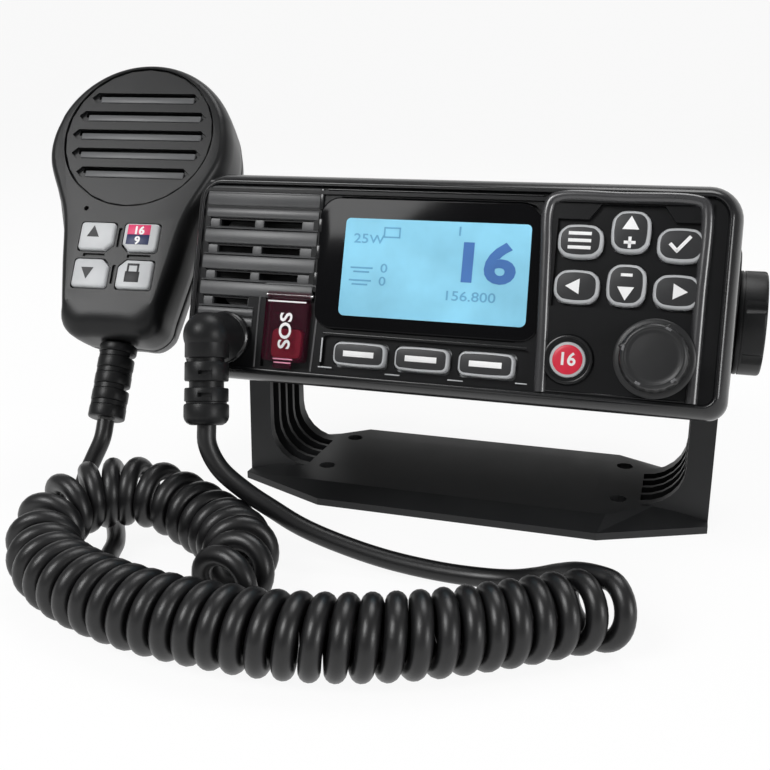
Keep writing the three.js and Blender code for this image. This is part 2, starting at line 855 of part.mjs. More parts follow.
function louvreTools() {
  const tools = [];
  for (let row = 0; row < louvreCount; row += 1) {
    const z = louvreTopRow - row * louvrePitch;
    const right = row === louvreCount - 1 ? louvreFirstSlot - louvreSlotLength / 2 : louvreRight;
    const slots = row === louvreCount - 1 ? 1 : 2;
    tools.push(block(
      -louvreLeft,
      -right,
      -bezelCrestStation - overrun,
      -channelStation,
      z - louvreSlotHeight / 2 - louvreLedge,
      z + louvreSlotHeight / 2 + louvreLedge,
    ));
    for (let slot = 0; slot < slots; slot += 1) {
      const x = slot * louvreSlotSpacing - louvreFirstSlot;
      tools.push(block(
        x - louvreSlotLength / 2,
        x + louvreSlotLength / 2,
        -bezelCrestStation - overrun,
        -wallBackStation + overrun,
        z - louvreSlotHeight / 2,
        z + louvreSlotHeight / 2,
      ));
    }
  }
  return tools;
}

function frontBezel() {
  const front = -bezelCrestStation - overrun;
  const back = -wallBackStation + overrun;
  const shell = loftBack([
    { outline: bezelOutline(bezelCrestInset), at: -bezelCrestStation },
    { outline: bezelOutline(bezelShoulderInset), at: -bezelShoulderStation },
    { outline: bezelOutline(0), at: -bezelWidestStation },
    { outline: bezelOutline(bezelFlankInset), at: -bezelFlankStation },
    { outline: bezelOutline(bezelRearInset), at: -bezelRearStation },
  ]);
  const cavity = new THREE.Shape(bezelOutline(bezelRearInset + bezelWall));
  const hollow = cut(shell, slab(cavity, -wallBackStation, -bezelRearStation + overrun));
  const bosses = screwPlaces().map(({ x, z }) => rod(
    screwBossRadius,
    -wallBackStation - gap,
    -bezelRearStation,
    x,
    z,
    smallRoundSteps,
  ));
  const panelZones = [
    block(-bezelRight, panelRight, front, -panelStation, -bezelBottom, panelTop),
    block(-bezelRight, bezelRight, front, -channelStation, bezelTop - topChannelHeight, bezelTop),
    block(bezelRight - channelWidth, bezelRight, front, -channelStation, -bezelBottom, bezelTop),
  ];
  const faced = cut(join(hollow, ...bosses), ...panelZones);
  const dividerLean = dividerWidth / 2;
  const divider = polygon([
    [dividerBottomPlace - dividerLean, -dividerBottom], [dividerBottomPlace + dividerLean, -dividerBottom],
    [dividerTopPlace + dividerLean, dividerTop], [dividerTopPlace - dividerLean, dividerTop],
  ]);
  const raised = join(
    faced,
    slab(divider, -panelStation - dividerProud, -channelStation),
    rod(
      channelRingRadius,
      -panelStation - channelRingProud,
      -channelStation,
      channelKeyPlace,
      -channelKeyDrop,
    ),
  );
  const pocket = roundedShape(
    windowWidth + 2 * gap,
    windowHeight + 2 * gap,
    windowRound,
    windowCentre,
    windowRaise,
  );
  const pocketStation = panelStation + windowProud - windowThickness - gap;
  const view = roundedShape(viewWidth, viewHeight, softFieldRound, viewCentre, viewRaise);
  const softField = roundedShape(
    softFieldWidth,
    softFieldHeight,
    softFieldRound,
    softKeyCentre,
    -softKeyDrop,
  );
  const tools = [
    slab(pocket, front, -pocketStation),
    slab(view, front, back),
    slab(softField, front, -recessStation),
    slab(keypadField(), front, -recessStation),
    block(
      distressPlace - distressFieldWidth / 2,
      distressPlace + distressFieldWidth / 2,
      front,
      -recessStation,
      -distressFieldBottom,
      -distressFieldTop,
    ),
    rod(channelKeyRadius + gap, front, back, channelKeyPlace, -channelKeyDrop),
    rod(shaftRadius + gap, front, back, knobPlace, -knobDrop, smallRoundSteps),
    rod(socketRadius + gap, front, back, socketPlace, -socketDrop),
    slab(roundedShape(
      distressKeyWidth + 2 * gap,
      distressKeyHeight + 2 * gap,
      softKeyRound,
      distressPlace,
      -distressKeyDrop,
    ), front, back),
    ...louvreTools(),
  ];
  for (const key of keypadKeys()) {
    const hole = barrelShape(key.width + 2 * gap, key.height + 2 * gap, keyRound, keyBulge, key.x, key.z);
    tools.push(slab(hole, front, back));
  }
  for (const key of softKeys()) {
    const hole = roundedShape(softKeyWidth + 2 * gap, softKeyHeight + 2 * gap, softKeyRound, key.x, key.z);
    tools.push(slab(hole, front, back));
  }
  for (const { x, z } of screwPlaces()) {
    tools.push(rod(
      screwRadius + gap,
      -bezelRearStation - screwLength - gap,
      -bezelRearStation + overrun,
      x,
      z,
      smallRoundSteps,
    ));
  }
  return cut(raised, ...tools);
}

// A key: its cap, and the flange that keeps it behind the front wall
function pushKey(cap, flange, topStation) {
  const flangeNear = -wallBackStation + gap;
  return join(
    slab(cap, -topStation, flangeNear + keyFlangeThickness),
    slab(flange, flangeNear, flangeNear + keyFlangeThickness),
  );
}

function keypadKey({ width, height, x, z }) {
  return pushKey(
    barrelShape(width, height, keyRound, keyBulge, x, z),
    barrelShape(width + 2 * keyLip, height + 2 * keyLip, keyRound, keyBulge, x, z),
    keyTopStation,
  );
}

function softKey({ x, z }) {
  return pushKey(
    roundedShape(softKeyWidth, softKeyHeight, softKeyRound, x, z),
    roundedShape(softKeyWidth + 2 * keyLip, softKeyHeight + 2 * keyLip, softKeyRound, x, z),
    keyTopStation,
  );
}

function channelKey() {
  const flangeNear = -wallBackStation + gap;
  const flangeFar = flangeNear + keyFlangeThickness;
  return turned([
    [0, -channelKeyTopStation], [channelKeyRadius, -channelKeyTopStation],
    [channelKeyRadius, flangeNear], [channelKeyRadius + keyLip, flangeNear],
    [channelKeyRadius + keyLip, flangeFar], [0, flangeFar],
  ], channelKeyPlace, -channelKeyDrop);
}

function distressKey() {
  const flangeWidth = distressKeyWidth + 2 * keyLip;
  const flangeHeight = distressKeyHeight + 2 * keyLip;
  return pushKey(
    roundedShape(distressKeyWidth, distressKeyHeight, softKeyRound, distressPlace, -distressKeyDrop),
    roundedShape(flangeWidth, flangeHeight, softKeyRound, distressPlace, -distressKeyDrop),
    distressKeyTopStation,
  );
}

// The see-through cover over the distress key, with its hinge barrel and finger lip
function distressCover() {
  const height = coverBottom - coverTop;
  const middle = -(coverTop + coverBottom) / 2;
  const back = -recessStation - gap;
  const outer = roundedShape(coverWidth, height, coverRound, distressPlace, middle);
  const left = distressPlace - coverWidth / 2;
  const right = distressPlace + coverWidth / 2;
  const lidBack = -coverFrontStation + coverFrontWall;
  const solid = join(
    slab(outer, -coverFrontStation, back),
    crossRod(hingeBarrelRadius, left, right, -hingeStation, -hingeDrop, smallRoundSteps),
    block(
      left + coverRound,
      right - coverRound,
      -hingeStation - hingeWebThickness,
      -hingeStation,
      -coverTop - coverSideWall,
      -hingeDrop,
    ),
    block(
      distressPlace - coverLipWidth / 2,
      distressPlace + coverLipWidth / 2,
      -coverFrontStation,
      lidBack,
      -coverBottom - coverLipLength,
      -coverBottom + coverSideWall,
    ),
  );
  return cut(
    solid,
    block(
      left + coverSideWall,
      right - coverSideWall,
      lidBack,
      back + overrun,
      -coverBottom + coverSideWall,
      -coverTop - coverSideWall,
    ),
    crossRod(
      hingePinRadius + gap,
      left - overrun,
      right + overrun,
      -hingeStation,
      -hingeDrop,
      smallRoundSteps,
    ),
  );
}

function distressCoverPin() {
  const half = distressFieldWidth / 2 - gap;
  return crossRod(
    hingePinRadius,
    distressPlace - half,
    distressPlace + half,
    -hingeStation,
    -hingeDrop,
    smallRoundSteps,
  );
}

// Volume knob, its shaft and the encoder
function controlKnob() {
  const front = -knobFrontStation;
  const body = turned([
    [0, front + knobDishDepth], [knobDishRadius, front + knobDishDepth], [knobNoseRadius, front],
    [knobRadius, front + knobRound], [knobRadius, -knobBackStation - knobSkirtThickness],
    [knobSkirtRadius, -knobBackStation - knobSkirtThickness], [knobSkirtRadius, -knobBackStation],
    [0, -knobBackStation],
  ], knobPlace, -knobDrop, largeRoundSteps);
  const boreFront = -shaftFrontStation - gap - knobPush;
  const tools = [rod(
    shaftRadius + gap,
    boreFront,
    -knobBackStation + overrun,
    knobPlace,
    -knobDrop,
    smallRoundSteps,
  )];
  for (let flute = 0; flute < knobFluteCount; flute += 1) {
    const angle = flute * 2 * Math.PI / knobFluteCount;
    tools.push(rod(
      knobFluteRadius,
      front - overrun,
      -knobBackStation - knobSkirtThickness - gap,
      knobPlace + (knobRadius + knobFluteRadius / 2) * Math.cos(angle),
      -knobDrop + (knobRadius + knobFluteRadius / 2) * Math.sin(angle),
      fluteSteps,
    ));
  }
  return cut(body, ...tools);
}

function encoderBody() {
  const half = encoderWidth / 2;
  const near = -wallBackStation + gap;
  return cut(
    block(knobPlace - half, knobPlace + half, near, -encoderBackStation, -knobDrop - half, -knobDrop + half),
    rod(shaftRadius + gap, near - overrun, -shaftBackStation + gap, knobPlace, -knobDrop, smallRoundSteps),
  );
}

// Panel socket, and the plug's boot whose arm leans towards the middle
function micSocket() {
  const flangeBack = -panelStation - gap;
  const flangeFront = flangeBack - socketFlangeThickness;
  return turned([
    [0, flangeFront], [socketFlangeRadius - rearBevel, flangeFront],
    [socketFlangeRadius, flangeFront + rearBevel], [socketFlangeRadius, flangeBack],
    [socketRadius, flangeBack], [socketRadius, -socketBackStation], [0, -socketBackStation],
  ], socketPlace, -socketDrop, largeRoundSteps);
}

function plugBoot() {
  const socketFront = -panelStation - gap - socketFlangeThickness;
  const dome = new THREE.SphereGeometry(
    bootRadius,
    roundSteps,
    roundSteps / 2,
  ).translate(0, -bootElbowStation, 0);
  const stem = rod(bootRadius, -bootElbowStation, socketFront - gap, 0, 0);
  const narrow = bootArmRadius - bootGrooveDepth;
  const profile = [
    [0, 0], [bootArmRadius, 0], [bootArmRadius, bootDomeEnd], [narrow, bootDomeEnd],
    [narrow, bootDomeEnd + bootGrooveHeight], [bootArmRadius, bootDomeEnd + bootGrooveHeight],
    [bootArmRadius, bootWaist], [narrow, bootWaist], [narrow, bootWaist + bootWaistGrooveHeight],
    [bootArmRadius, bootWaist + bootWaistGrooveHeight], [bootArmRadius, bootCollar],
    [bootCollarRadius, bootCollar + bootGrooveHeight], [bootCollarRadius, bootArmLength - bootCollarRound],
    [bootCollarRadius - bootCollarRound, bootArmLength], [0, bootArmLength],
  ];
  const slots = bootSlotRows.map((row) => block(
    0,
    bootSlotLength,
    -bootArmRadius - overrun,
    bootSlotDepth - bootArmRadius,
    -row - bootSlotHeight,
    -row,
  ));
  const arm = cut(turned(profile, 0, 0).rotateX(-Math.PI / 2), ...slots)
    .rotateY(-THREE.MathUtils.degToRad(bootArmLeanDegrees))
    .translate(0, -bootElbowStation, 0);
  return join(dome, stem, arm).translate(socketPlace, 0, -socketDrop);
}

// Chassis, its seal and the screws that hold the bezel on it
function chassisOutline(inset) {
  const height = chassisTop + chassisBottom;
  return roundedShape(
    2 * (chassisHalfWidth - inset),
    height - 2 * inset,
    chassisRound - inset / 2,
    0,
    (chassisTop - chassisBottom) / 2,
  );
}

function chassisShell() {
  const flangeNear = -flangeBackStation - flangeThickness;
  const rear = chassisRearStation;
  const finBottom = -chassisBottom - overrun;
  const solid = join(
    slab(chassisOutline(0), flangeNear, rear),
    slab(new THREE.Shape(bezelOutline(bezelRearInset + flangeInset)), flangeNear, -flangeBackStation),
  );
  const sideWall = chassisWall + finGrooveDepth;
  const tools = [slab(chassisOutline(sideWall), flangeNear - overrun, rear - sideWall)];
  for (const side of [-1, 1]) {
    tools.push(crossRod(
      studRadius + gap,
      Math.min(side * (chassisHalfWidth - studDepthInChassis - gap), side * (chassisHalfWidth + overrun)),
      Math.max(side * (chassisHalfWidth - studDepthInChassis - gap), side * (chassisHalfWidth + overrun)),
      0,
      0,
      smallRoundSteps,
    ));
  }
  for (let fin = 0; fin < finCount; fin += 1) {
    const x = (fin - (finCount - 1) / 2) * finPitch;
    tools.push(block(
      x - finGrooveWidth / 2,
      x + finGrooveWidth / 2,
      finStart,
      rear + overrun,
      chassisTop - finGrooveDepth,
      chassisTop + overrun,
    ));
    tools.push(block(
      x - finGrooveWidth / 2,
      x + finGrooveWidth / 2,
      finStart,
      rear + overrun,
      finBottom,
      finGrooveDepth - chassisBottom,
    ));
  }
  for (const { place, drop, radius } of rearSockets) {
    tools.push(rod(
      radius - rearSocketBore + gap,
      rear - sideWall - overrun,
      rear + overrun,
      place,
      -drop,
      smallRoundSteps,
    ));
  }
  for (const { x, z } of screwPlaces()) {
    tools.push(rod(
      screwRadius + gap,
      flangeNear - overrun,
      -flangeBackStation + overrun,
      x,
      z,
      smallRoundSteps,
    ));
  }
  const innerFloor = sideWall - chassisBottom;
  const posts = [];
  for (const side of [-1, 1]) {
    for (const y of [boardPostInset - mainBoardFront, mainBoardBack - boardPostInset]) {
      const x = side * (mainBoardHalf - boardPostInset);
      posts.push(post(boardPostRadius, innerFloor - overrun, -mainBoardDrop - gap, x, y));
    }
    posts.push(crossRod(
      sideBossRadius,
      Math.min(
        side * (chassisHalfWidth - sideWall + overrun),
        side * (chassisHalfWidth - studDepthInChassis - overrun),
      ),
      Math.max(
        side * (chassisHalfWidth - sideWall + overrun),
        side * (chassisHalfWidth - studDepthInChassis - overrun),
      ),
      0,
      0,
      smallRoundSteps,
    ));
  }
  const bored = cut(join(cut(solid, tools[0]), ...posts), ...tools.slice(1));
  return bored;
}

function frontSeal() {
  const near = -bezelRearStation + gap;
  const outer = new THREE.Shape(bezelOutline(bezelRearInset + flangeInset));
  const inner = new THREE.Shape(bezelOutline(bezelRearInset + bezelWall));
  const ring = cut(
    slab(outer, near, near + sealThickness),
    slab(inner, near - overrun, near + sealThickness + overrun),
  );
  const ears = screwPlaces().map(({ x, z }) => rod(
    screwBossRadius,
    near,
    near + sealThickness,
    x,
    z,
    smallRoundSteps,
  ));
  const holes = screwPlaces().map(({ x, z }) => rod(
    screwRadius + gap,
    near - overrun,
    near + sealThickness + overrun,
    x,
    z,
    smallRoundSteps,
  ));
  return cut(join(ring, ...ears), ...holes);
}

function bezelScrew({ x, z }) {
  const seat = -flangeBackStation + gap;
  return turned([
    [0, -bezelRearStation - screwLength], [screwRadius, -bezelRearStation - screwLength],
    [screwRadius, seat], [screwHeadRadius, seat], [screwHeadRadius, seat + screwHeadThickness],
    [0, seat + screwHeadThickness],
  ], x, z, smallRoundSteps);
}

function rearSocket({ place, drop, radius, collar, reach }) {
  const seat = chassisRearStation + gap;
  const collarBack = seat + rearCollarThickness;
  const neck = radius - rearSocketBore;
  const inside = chassisRearStation - chassisWall - finGrooveDepth - rearSocketInside;
  const body = turned([
    [0, inside], [neck, inside], [neck, seat], [collar, seat], [collar, collarBack], [radius, collarBack],
    [radius, chassisRearStation + reach - rearBevel], [radius - rearBevel, chassisRearStation + reach],
    [0, chassisRearStation + reach],
  ], place, -drop);
  const bore = rod(
    rearSocketBore,
    collarBack,
    chassisRearStation + reach + overrun,
    place,
    -drop,
    smallRoundSteps,
  );
  return cut(body, bore);
}

// Boards, shield can, display module and loudspeaker
function displayWindow() {
  const near = -panelStation - windowProud;
  const shape = roundedShape(windowWidth, windowHeight, windowRound, windowCentre, windowRaise);
  return slab(shape, near, near + windowThickness);
}

function lcdModule() {
  const near = -wallBackStation + gap;
  const halfWidth = viewWidth / 2 + lcdMargin;
  const halfHeight = viewHeight / 2 + lcdMargin;
  return block(
    viewCentre - halfWidth,
    viewCentre + halfWidth,
    near,
    near + lcdThickness,
    viewRaise - halfHeight,
    viewRaise + halfHeight,
  );
}

const frontBoardNear = -wallBackStation + gap + lcdThickness + gap;

function frontBoard() {
  const outline = polygon([
    [frontBoardTabLeft, -frontBoardBottom], [frontBoardRight, -frontBoardBottom],
    [frontBoardRight, frontBoardTop], [frontBoardLeft, frontBoardTop],
    [frontBoardLeft, -frontBoardTabTop], [frontBoardTabLeft, -frontBoardTabTop],
  ]);
  const half = encoderWidth / 2 + gap;
  return cut(
    slab(outline, frontBoardNear, frontBoardNear + boardThickness),
    block(
      knobPlace - half,
      knobPlace + half,
      frontBoardNear - overrun,
      frontBoardNear + boardThickness + overrun,
      -knobDrop - half,
      -knobDrop + half,
    ),
  );
}

function mainBoard() {
  const half = mainBoardHalf;
  return block(-half, half, -mainBoardFront, mainBoardBack, -mainBoardDrop, boardThickness - mainBoardDrop);
}

function shieldCan() {
  const half = shieldWidth / 2;
  const low = boardThickness - mainBoardDrop + gap;
  const near = shieldBack - shieldDepth / 2;
  const far = shieldBack + shieldDepth / 2;
  return cut(
    block(shieldPlace - half, shieldPlace + half, near, far, low, low + shieldHeight),
    block(
      shieldPlace - half + shieldWall,
      shieldPlace + half - shieldWall,
      near + shieldWall,
      far - shieldWall,
      low - overrun,
      low + shieldHeight - shieldWall,
    ),
  );
}

function speakerDriver() {
  const near = -wallBackStation + gap;
  const far = near + speakerDepth;
  return turned([
    [0, near + speakerRimThickness], [speakerMagnetRadius, near + speakerRimThickness],
    [speakerRadius - speakerRimThickness, near], [speakerRadius, near],
    [speakerRadius, near + speakerRimThickness], [speakerMagnetRadius, far - speakerMagnetThickness],
    [speakerMagnetRadius, far], [0, far],
  ], speakerPlace, speakerRaise, largeRoundSteps);
}

// Handset outline: a round head on a tapering body, drawn in by an inset and more so at the chin
function handsetOutline(inset, chin = 0) {
  const points = [];
  const start = THREE.MathUtils.degToRad(headArcDegrees);
  for (let step = 0; step <= headArcSteps; step += 1) {
    const angle = step / headArcSteps * (Math.PI + 2 * start) - start;
    points.push([(headRadius - inset) * Math.cos(angle), (headRadius - inset) * Math.sin(angle) - headDrop]);
  }
  const side = [
    [neckHalf, neckDrop], [waistHalf, waistDrop], [heelHalf, heelDrop],
    [heelRoundHalf, heelRoundDrop - inset - chin], [heelBottomHalf, handsetBottom - inset - chin],
  ].map(([half, drop]) => [half - inset, -drop]);
  points.push(...side.map(([half, z]) => [-half, z]));
  points.push(...side.reverse());
  return points.map(([x, z]) => new THREE.Vector2(x, z));
}

function leverShape(grow, travel) {
  const flank = (drop) => headFlank(drop);
  const top = leverTop - grow;
  const bottom = leverBottom + grow;
  const middle = (top + bottom) / 2;
  const outer = [top, middle, bottom].map((drop) => [-flank(drop) - leverProud, -drop]);
  const inner = [bottom, middle, top].map((drop) => [
    leverThickness + grow + travel * (drop - top) / (bottom - top) - leverProud - flank(drop),
    -drop,
  ]);
  return polygon([...outer, ...inner]);
}

// Half width of the handset's widest section at a distance below the grille's centre
function headFlank(drop) {
  const arcEnd = headDrop + headRadius * Math.sin(THREE.MathUtils.degToRad(headArcDegrees));
  if (drop < arcEnd) {
    return Math.sqrt(headRadius ** 2 - (drop - headDrop) ** 2);
  }
  if (drop < neckDrop) {
    const half = headRadius * Math.cos(THREE.MathUtils.degToRad(headArcDegrees));
    return THREE.MathUtils.mapLinear(drop, arcEnd, neckDrop, half, neckHalf);
  }
  return THREE.MathUtils.mapLinear(drop, neckDrop, waistDrop, neckHalf, waistHalf);
}

function handsetKeyPlaces() {
  return [
    { name: 'handset_up_key', side: -1, drop: handsetKeyUpperDrop, level: 1 },
    { name: 'handset_channel_key', side: 1, drop: handsetKeyUpperDrop, level: 1 },
    { name: 'handset_down_key', side: -1, drop: handsetKeyLowerDrop, level: -1 },
    { name: 'handset_lock_key', side: 1, drop: handsetKeyLowerDrop, level: -1 },
  ];
}

// A key whose corner next to the other three is cut off
function handsetKeyShape({ side, drop, level }, grow) {
  const halfWidth = handsetKeyWidth / 2 + grow;
  const halfHeight = handsetKeyHeight / 2 + grow;
  const round = handsetKeyRound;
  const points = [
    [-halfWidth + handsetKeyClip, -halfHeight], [halfWidth - round, -halfHeight],
    [halfWidth, -halfHeight + round], [halfWidth, halfHeight - round], [halfWidth - round, halfHeight],
    [-halfWidth + round, halfHeight], [-halfWidth, halfHeight - round],
    [-halfWidth, -halfHeight + handsetKeyClip],
  ];
  return polygon(points.map(([x, z]) => [side * (handsetKeyHalfSpan + x), level * z - drop]));
}

function handsetKey(place) {
  const flangeNear = shellWall + gap;
  return join(
    slab(handsetKeyShape(place, 0), -handsetKeyProud, flangeNear + keyFlangeThickness),
    slab(handsetKeyShape(place, keyLip), flangeNear, flangeNear + keyFlangeThickness),
  );
}

const partGap = shellPartStation + gap;

function handsetFrontShell() {
  const shell = loftBack([
    { outline: handsetOutline(shellFaceInset, chinSlope * shellFaceInset), at: 0 },
    { outline: handsetOutline(shellEdgeInset, chinSlope * shellEdgeInset), at: shellEdgeStation },
    { outline: handsetOutline(0), at: shellWidestStation },
    { outline: handsetOutline(shellPartInset), at: shellPartStation },
  ]);
  const cavity = loftBack([
    { outline: handsetOutline(shellEdgeInset + shellWall, chinSlope * shellFaceInset), at: shellWall },
    { outline: handsetOutline(shellWall), at: shellWidestStation + shellWall },
    { outline: handsetOutline(shellPartInset + shellWall), at: shellPartStation + overrun },
  ]);
  const seatBack = grilleSeatDepth + gap;
  const hollow = cut(shell, cavity);
  const seat = rod(grilleSeatRadius, seatBack, seatBack + shellWall, 0, 0, largeRoundSteps);
  const boardPosts = [-1, 1].map((side) => rod(
    handsetPostRadius,
    shellWall - gap,
    handsetBoardStation - gap,
    side * handsetPostHalfSpan,
    handsetPostInset - handsetBoardBottom,
    smallRoundSteps,
  ));
  const solid = join(hollow, common(seat, loftBack([
    { outline: handsetOutline(shellEdgeInset), at: 0 },
    { outline: handsetOutline(shellEdgeInset), at: shellPartStation },
  ])), ...boardPosts);
  const neckZ = -handsetBottom;
  const relief = rod(
    reliefNeckRadius + gap,
    neckZ - overrun,
    neckZ + reliefNeckLength + overrun,
    0,
    0,
    smallRoundSteps,
  )
    .rotateX(Math.PI / 2)
    .translate(reliefPlace, reliefStation, 0);
  const lever = slab(
    leverShape(leverClearance, leverTravel),
    leverFront - leverClearance,
    leverBack + leverClearance,
  );
  return cut(
    solid,
    rod(grilleRadius + gap, -overrun, seatBack, 0, 0, largeRoundSteps),
    rod(grilleOpeningRadius, -overrun, seatBack + shellWall + overrun, 0, 0, largeRoundSteps),
    rod(micHoleRadius, -overrun, shellWall + overrun, micPlace, -micDrop, smallRoundSteps),
    relief,
    lever,
    leverPivot(gap),
    ...handsetKeyPlaces().map((place) => slab(handsetKeyShape(place, gap), -overrun, shellWall + overrun)),
  );
}

function handsetBackShell() {
  const shell = loftBack([
    { outline: handsetOutline(shellPartInset), at: partGap },
    { outline: handsetOutline(shellRearInset), at: shellRearStation },
    { outline: handsetOutline(shellBackInset), at: shellBackStation },
  ]);
  const cavity = loftBack([
    { outline: handsetOutline(shellPartInset + shellWall), at: partGap - overrun },
    { outline: handsetOutline(shellRearInset + shellWall), at: shellRearStation },
    { outline: handsetOutline(shellBackInset + shellWall), at: shellBackStation - shellWall },
  ]);
  return cut(
    shell,
    cavity,
    rod(hangSpigot + gap, shellRearStation, shellBackStation + overrun, 0, -hangButtonDrop, smallRoundSteps),
  );
}

function grilleDisc() {
  const near = gap;
  const far = near + grilleThickness;
  const disc = turned([
    [0, near], [grilleRadius - gap, near], [grilleRadius, near + gap], [grilleRadius, far], [0, far],
  ], 0, 0, largeRoundSteps);
  const tools = grilleSlotHalfLengths.flatMap((half, row) => {
    const z = grilleSlotTop - row * grilleSlotPitch;
    const low = z - grilleSlotHeight / 2;
    const high = z + grilleSlotHeight / 2;
    const flat = half - grilleSlotHeight / 2;
    return [
      slab(
        polygon([[-half, z], [-flat, low], [flat, low], [half, z], [flat, high], [-flat, high]]),
        near - overrun,
        near + grilleLedgeDepth,
      ),
      block(-flat, flat, near - overrun, far + overrun, high - grilleOpeningHeight, high),
    ];
  });
  return cut(disc, ...tools);
}

// The lever's pivot, seated in the flank of the shell
function leverPivot(grow) {
  const reach = leverPivotLength + grow;
  return rod(
    leverPivotRadius + grow,
    leverFront - reach,
    leverBack + reach,
    leverPivotDepth - headFlank(leverPivotDrop),
    -leverPivotDrop,
    smallRoundSteps,
  );
}

function talkLever() {
  return join(slab(leverShape(0, 0), leverFront, leverBack), leverPivot(0));
}

function hangButton() {
  const seat = shellBackStation + gap;
  const headNear = seat + hangButtonProud - hangButtonHeadThickness;
  return turned([
    [0, shellBackStation - shellWall], [hangSpigot, shellBackStation - shellWall], [hangSpigot, seat],
    [hangButtonNeckRadius, seat], [hangButtonNeckRadius, headNear], [hangButtonRadius, headNear + rearBevel],
    [hangButtonRadius, seat + hangButtonProud - rearBevel],
    [hangButtonRadius - rearBevel, seat + hangButtonProud],
    [0, seat + hangButtonProud],
  ], 0, -hangButtonDrop);
}

function micCapsule() {
  const near = shellWall + gap;
  return rod(micRadius, near, near + micThickness, micPlace, -micDrop, smallRoundSteps);
}

function handsetSpeaker() {
  const near = grilleSeatDepth + gap + shellWall + gap;
  const rim = near + speakerRimThickness;
  const far = near + handsetSpeakerDepth;
  return turned([
    [0, rim], [handsetSpeakerMagnetRadius, rim], [handsetSpeakerRadius + shellWall, near],
    [grilleOpeningRadius + shellWall / 2, near], [grilleOpeningRadius + shellWall / 2, rim],
    [handsetSpeakerMagnetRadius, far - speakerRimThickness], [handsetSpeakerMagnetRadius, far], [0, far],
  ], 0, 0, roundSteps);
}

function handsetBoard() {
  const half = handsetBoardHalfWidth;
  return block(
    -half,
    half,
    handsetBoardStation,
    handsetBoardStation + boardThickness,
    -handsetBoardBottom,
    -handsetBoardTop,
  );
}

function strainRelief() {
  const collarTop = handsetBottom + gap;
  const collarEnd = collarTop + reliefCollarLength;
  const ringPitch = (reliefEnd - collarEnd) / reliefRingCount;
  const profile = [
    [0, handsetBottom - reliefNeckLength], [reliefNeckRadius, handsetBottom - reliefNeckLength],
    [reliefNeckRadius, collarTop], [reliefCollarRadius, collarTop], [reliefCollarRadius, collarEnd],
  ];
  for (let ring = 0; ring < reliefRingCount; ring += 1) {
    const start = collarEnd + ring * ringPitch;
    profile.push(
      [reliefWaistRadius, start + ringPitch / 6],
      [reliefWaistRadius, start + ringPitch / 3],
      [reliefRingRadius, start + ringPitch / 2],
      [reliefRingRadius, start + ringPitch],
    );
  }
  profile.push([0, reliefEnd]);
  return turned(
    profile,
    0,
    0,
    smallRoundSteps,
  ).rotateX(-Math.PI / 2).translate(reliefPlace, reliefStation, 0);
}

// Cord routes, chosen by hand
const radioLeadRoute = [
  [-64.36, -82.31, 42.36], [-63.81, -84.1, 36.87], [-60.2, -84.3, 30], [-53.2, -82.6, 22.8],
  [-44.7, -81, 17], [-36.7, -80.2, 12.5], [-26, -79.5, 8.6], [-10, -79, 4.9], [6.5, -78.6, 3.1],
  [19, -78.8, 3], [29.5, -79.4, 3], [38.5, -81.9, 3], [46, -86.1, 3], [53, -91.3, 2.9],
  [56.7, -95.8, 2.9],
];
const handsetLeadRoute = [
  [-117.86, -56.03, 30.27], [-117.7, -59.2, 24.8], [-119.9, -62, 18.3], [-122.2, -64.2, 12.2],
  [-122.6, -66.5, 7], [-119, -68.6, 3.9], [-112.4, -71.3, 3], [-105.2, -75.6, 3], [-99.2, -83.1, 3],
  [-94.8, -90.6, 3], [-91.7, -98.9, 3], [-86.9, -107.1, 3], [-80.5, -113.7, 3.4], [-73, -118, 6.2],
  [-66, -118.6, 10.6], [-59, -116.4, 15.4], [-51.5, -114.1, 18.7], [-44.5, -113.15, 19.25],
];
const curlRoute = [
  [57.5, -96.8, 11], [53.3, -101.1, 11], [46, -106.9, 11], [36, -113.8, 11],
  [25.5, -120.6, 11], [15, -126.6, 11], [4, -131.5, 11], [-7, -135, 11], [-18.5, -137.3, 11],
  [-29, -138.2, 11], [-40, -138.2, 11], [-51, -137.6, 11], [-61, -136.2, 11], [-71.5, -133.6, 11],
  [-82, -129.8, 11], [-92, -124.4, 11], [-100, -117.4, 11], [-105.6, -109, 11], [-107.4, -99.6, 11],
  [-105.2, -90.8, 11], [-99.6, -84.2, 11], [-92, -80.4, 11], [-83.5, -79.4, 11], [-74.8, -80.6, 11],
  [-66.4, -83.4, 11], [-58.6, -87.8, 11], [-51.8, -93.6, 11], [-46.4, -100.4, 11], [-43.4, -107.4, 11],
  [-43.2, -114, 11],
];

function along(route) {
  return new THREE.CatmullRomCurve3(
    route.map(([x, y, z]) => new THREE.Vector3(x, y, z)),
    false,
    'centripetal',
  );
}

function lead(route) {
  const path = along(route);
  const steps = Math.ceil(path.getLength() / (leadStepDiameters * leadDiameter));
  return new THREE.ExtrudeGeometry(circleShape(leadDiameter / 2, 0, 0), {
    extrudePath: path,
    steps,
    bevelEnabled: false,
    curveSegments: leadSides,
  });
}

// Where the curls pass over the handset's lead they open and rise
function crossingShare(point) {
  const crossing = new THREE.Vector3(...handsetLeadRoute[8]).setZ(point.z);
  const share = Math.max(0, 1 - crossing.distanceTo(point) / (2 * crossingReach));
  return THREE.MathUtils.smoothstep(share, 0, 1);
}

// How sharply the route turns about a place on it
function bendAt(heading, distance) {
  const probe = curlPitch / 2;
  return heading(distance - probe).angleTo(heading(distance + probe)) / (2 * probe);
}

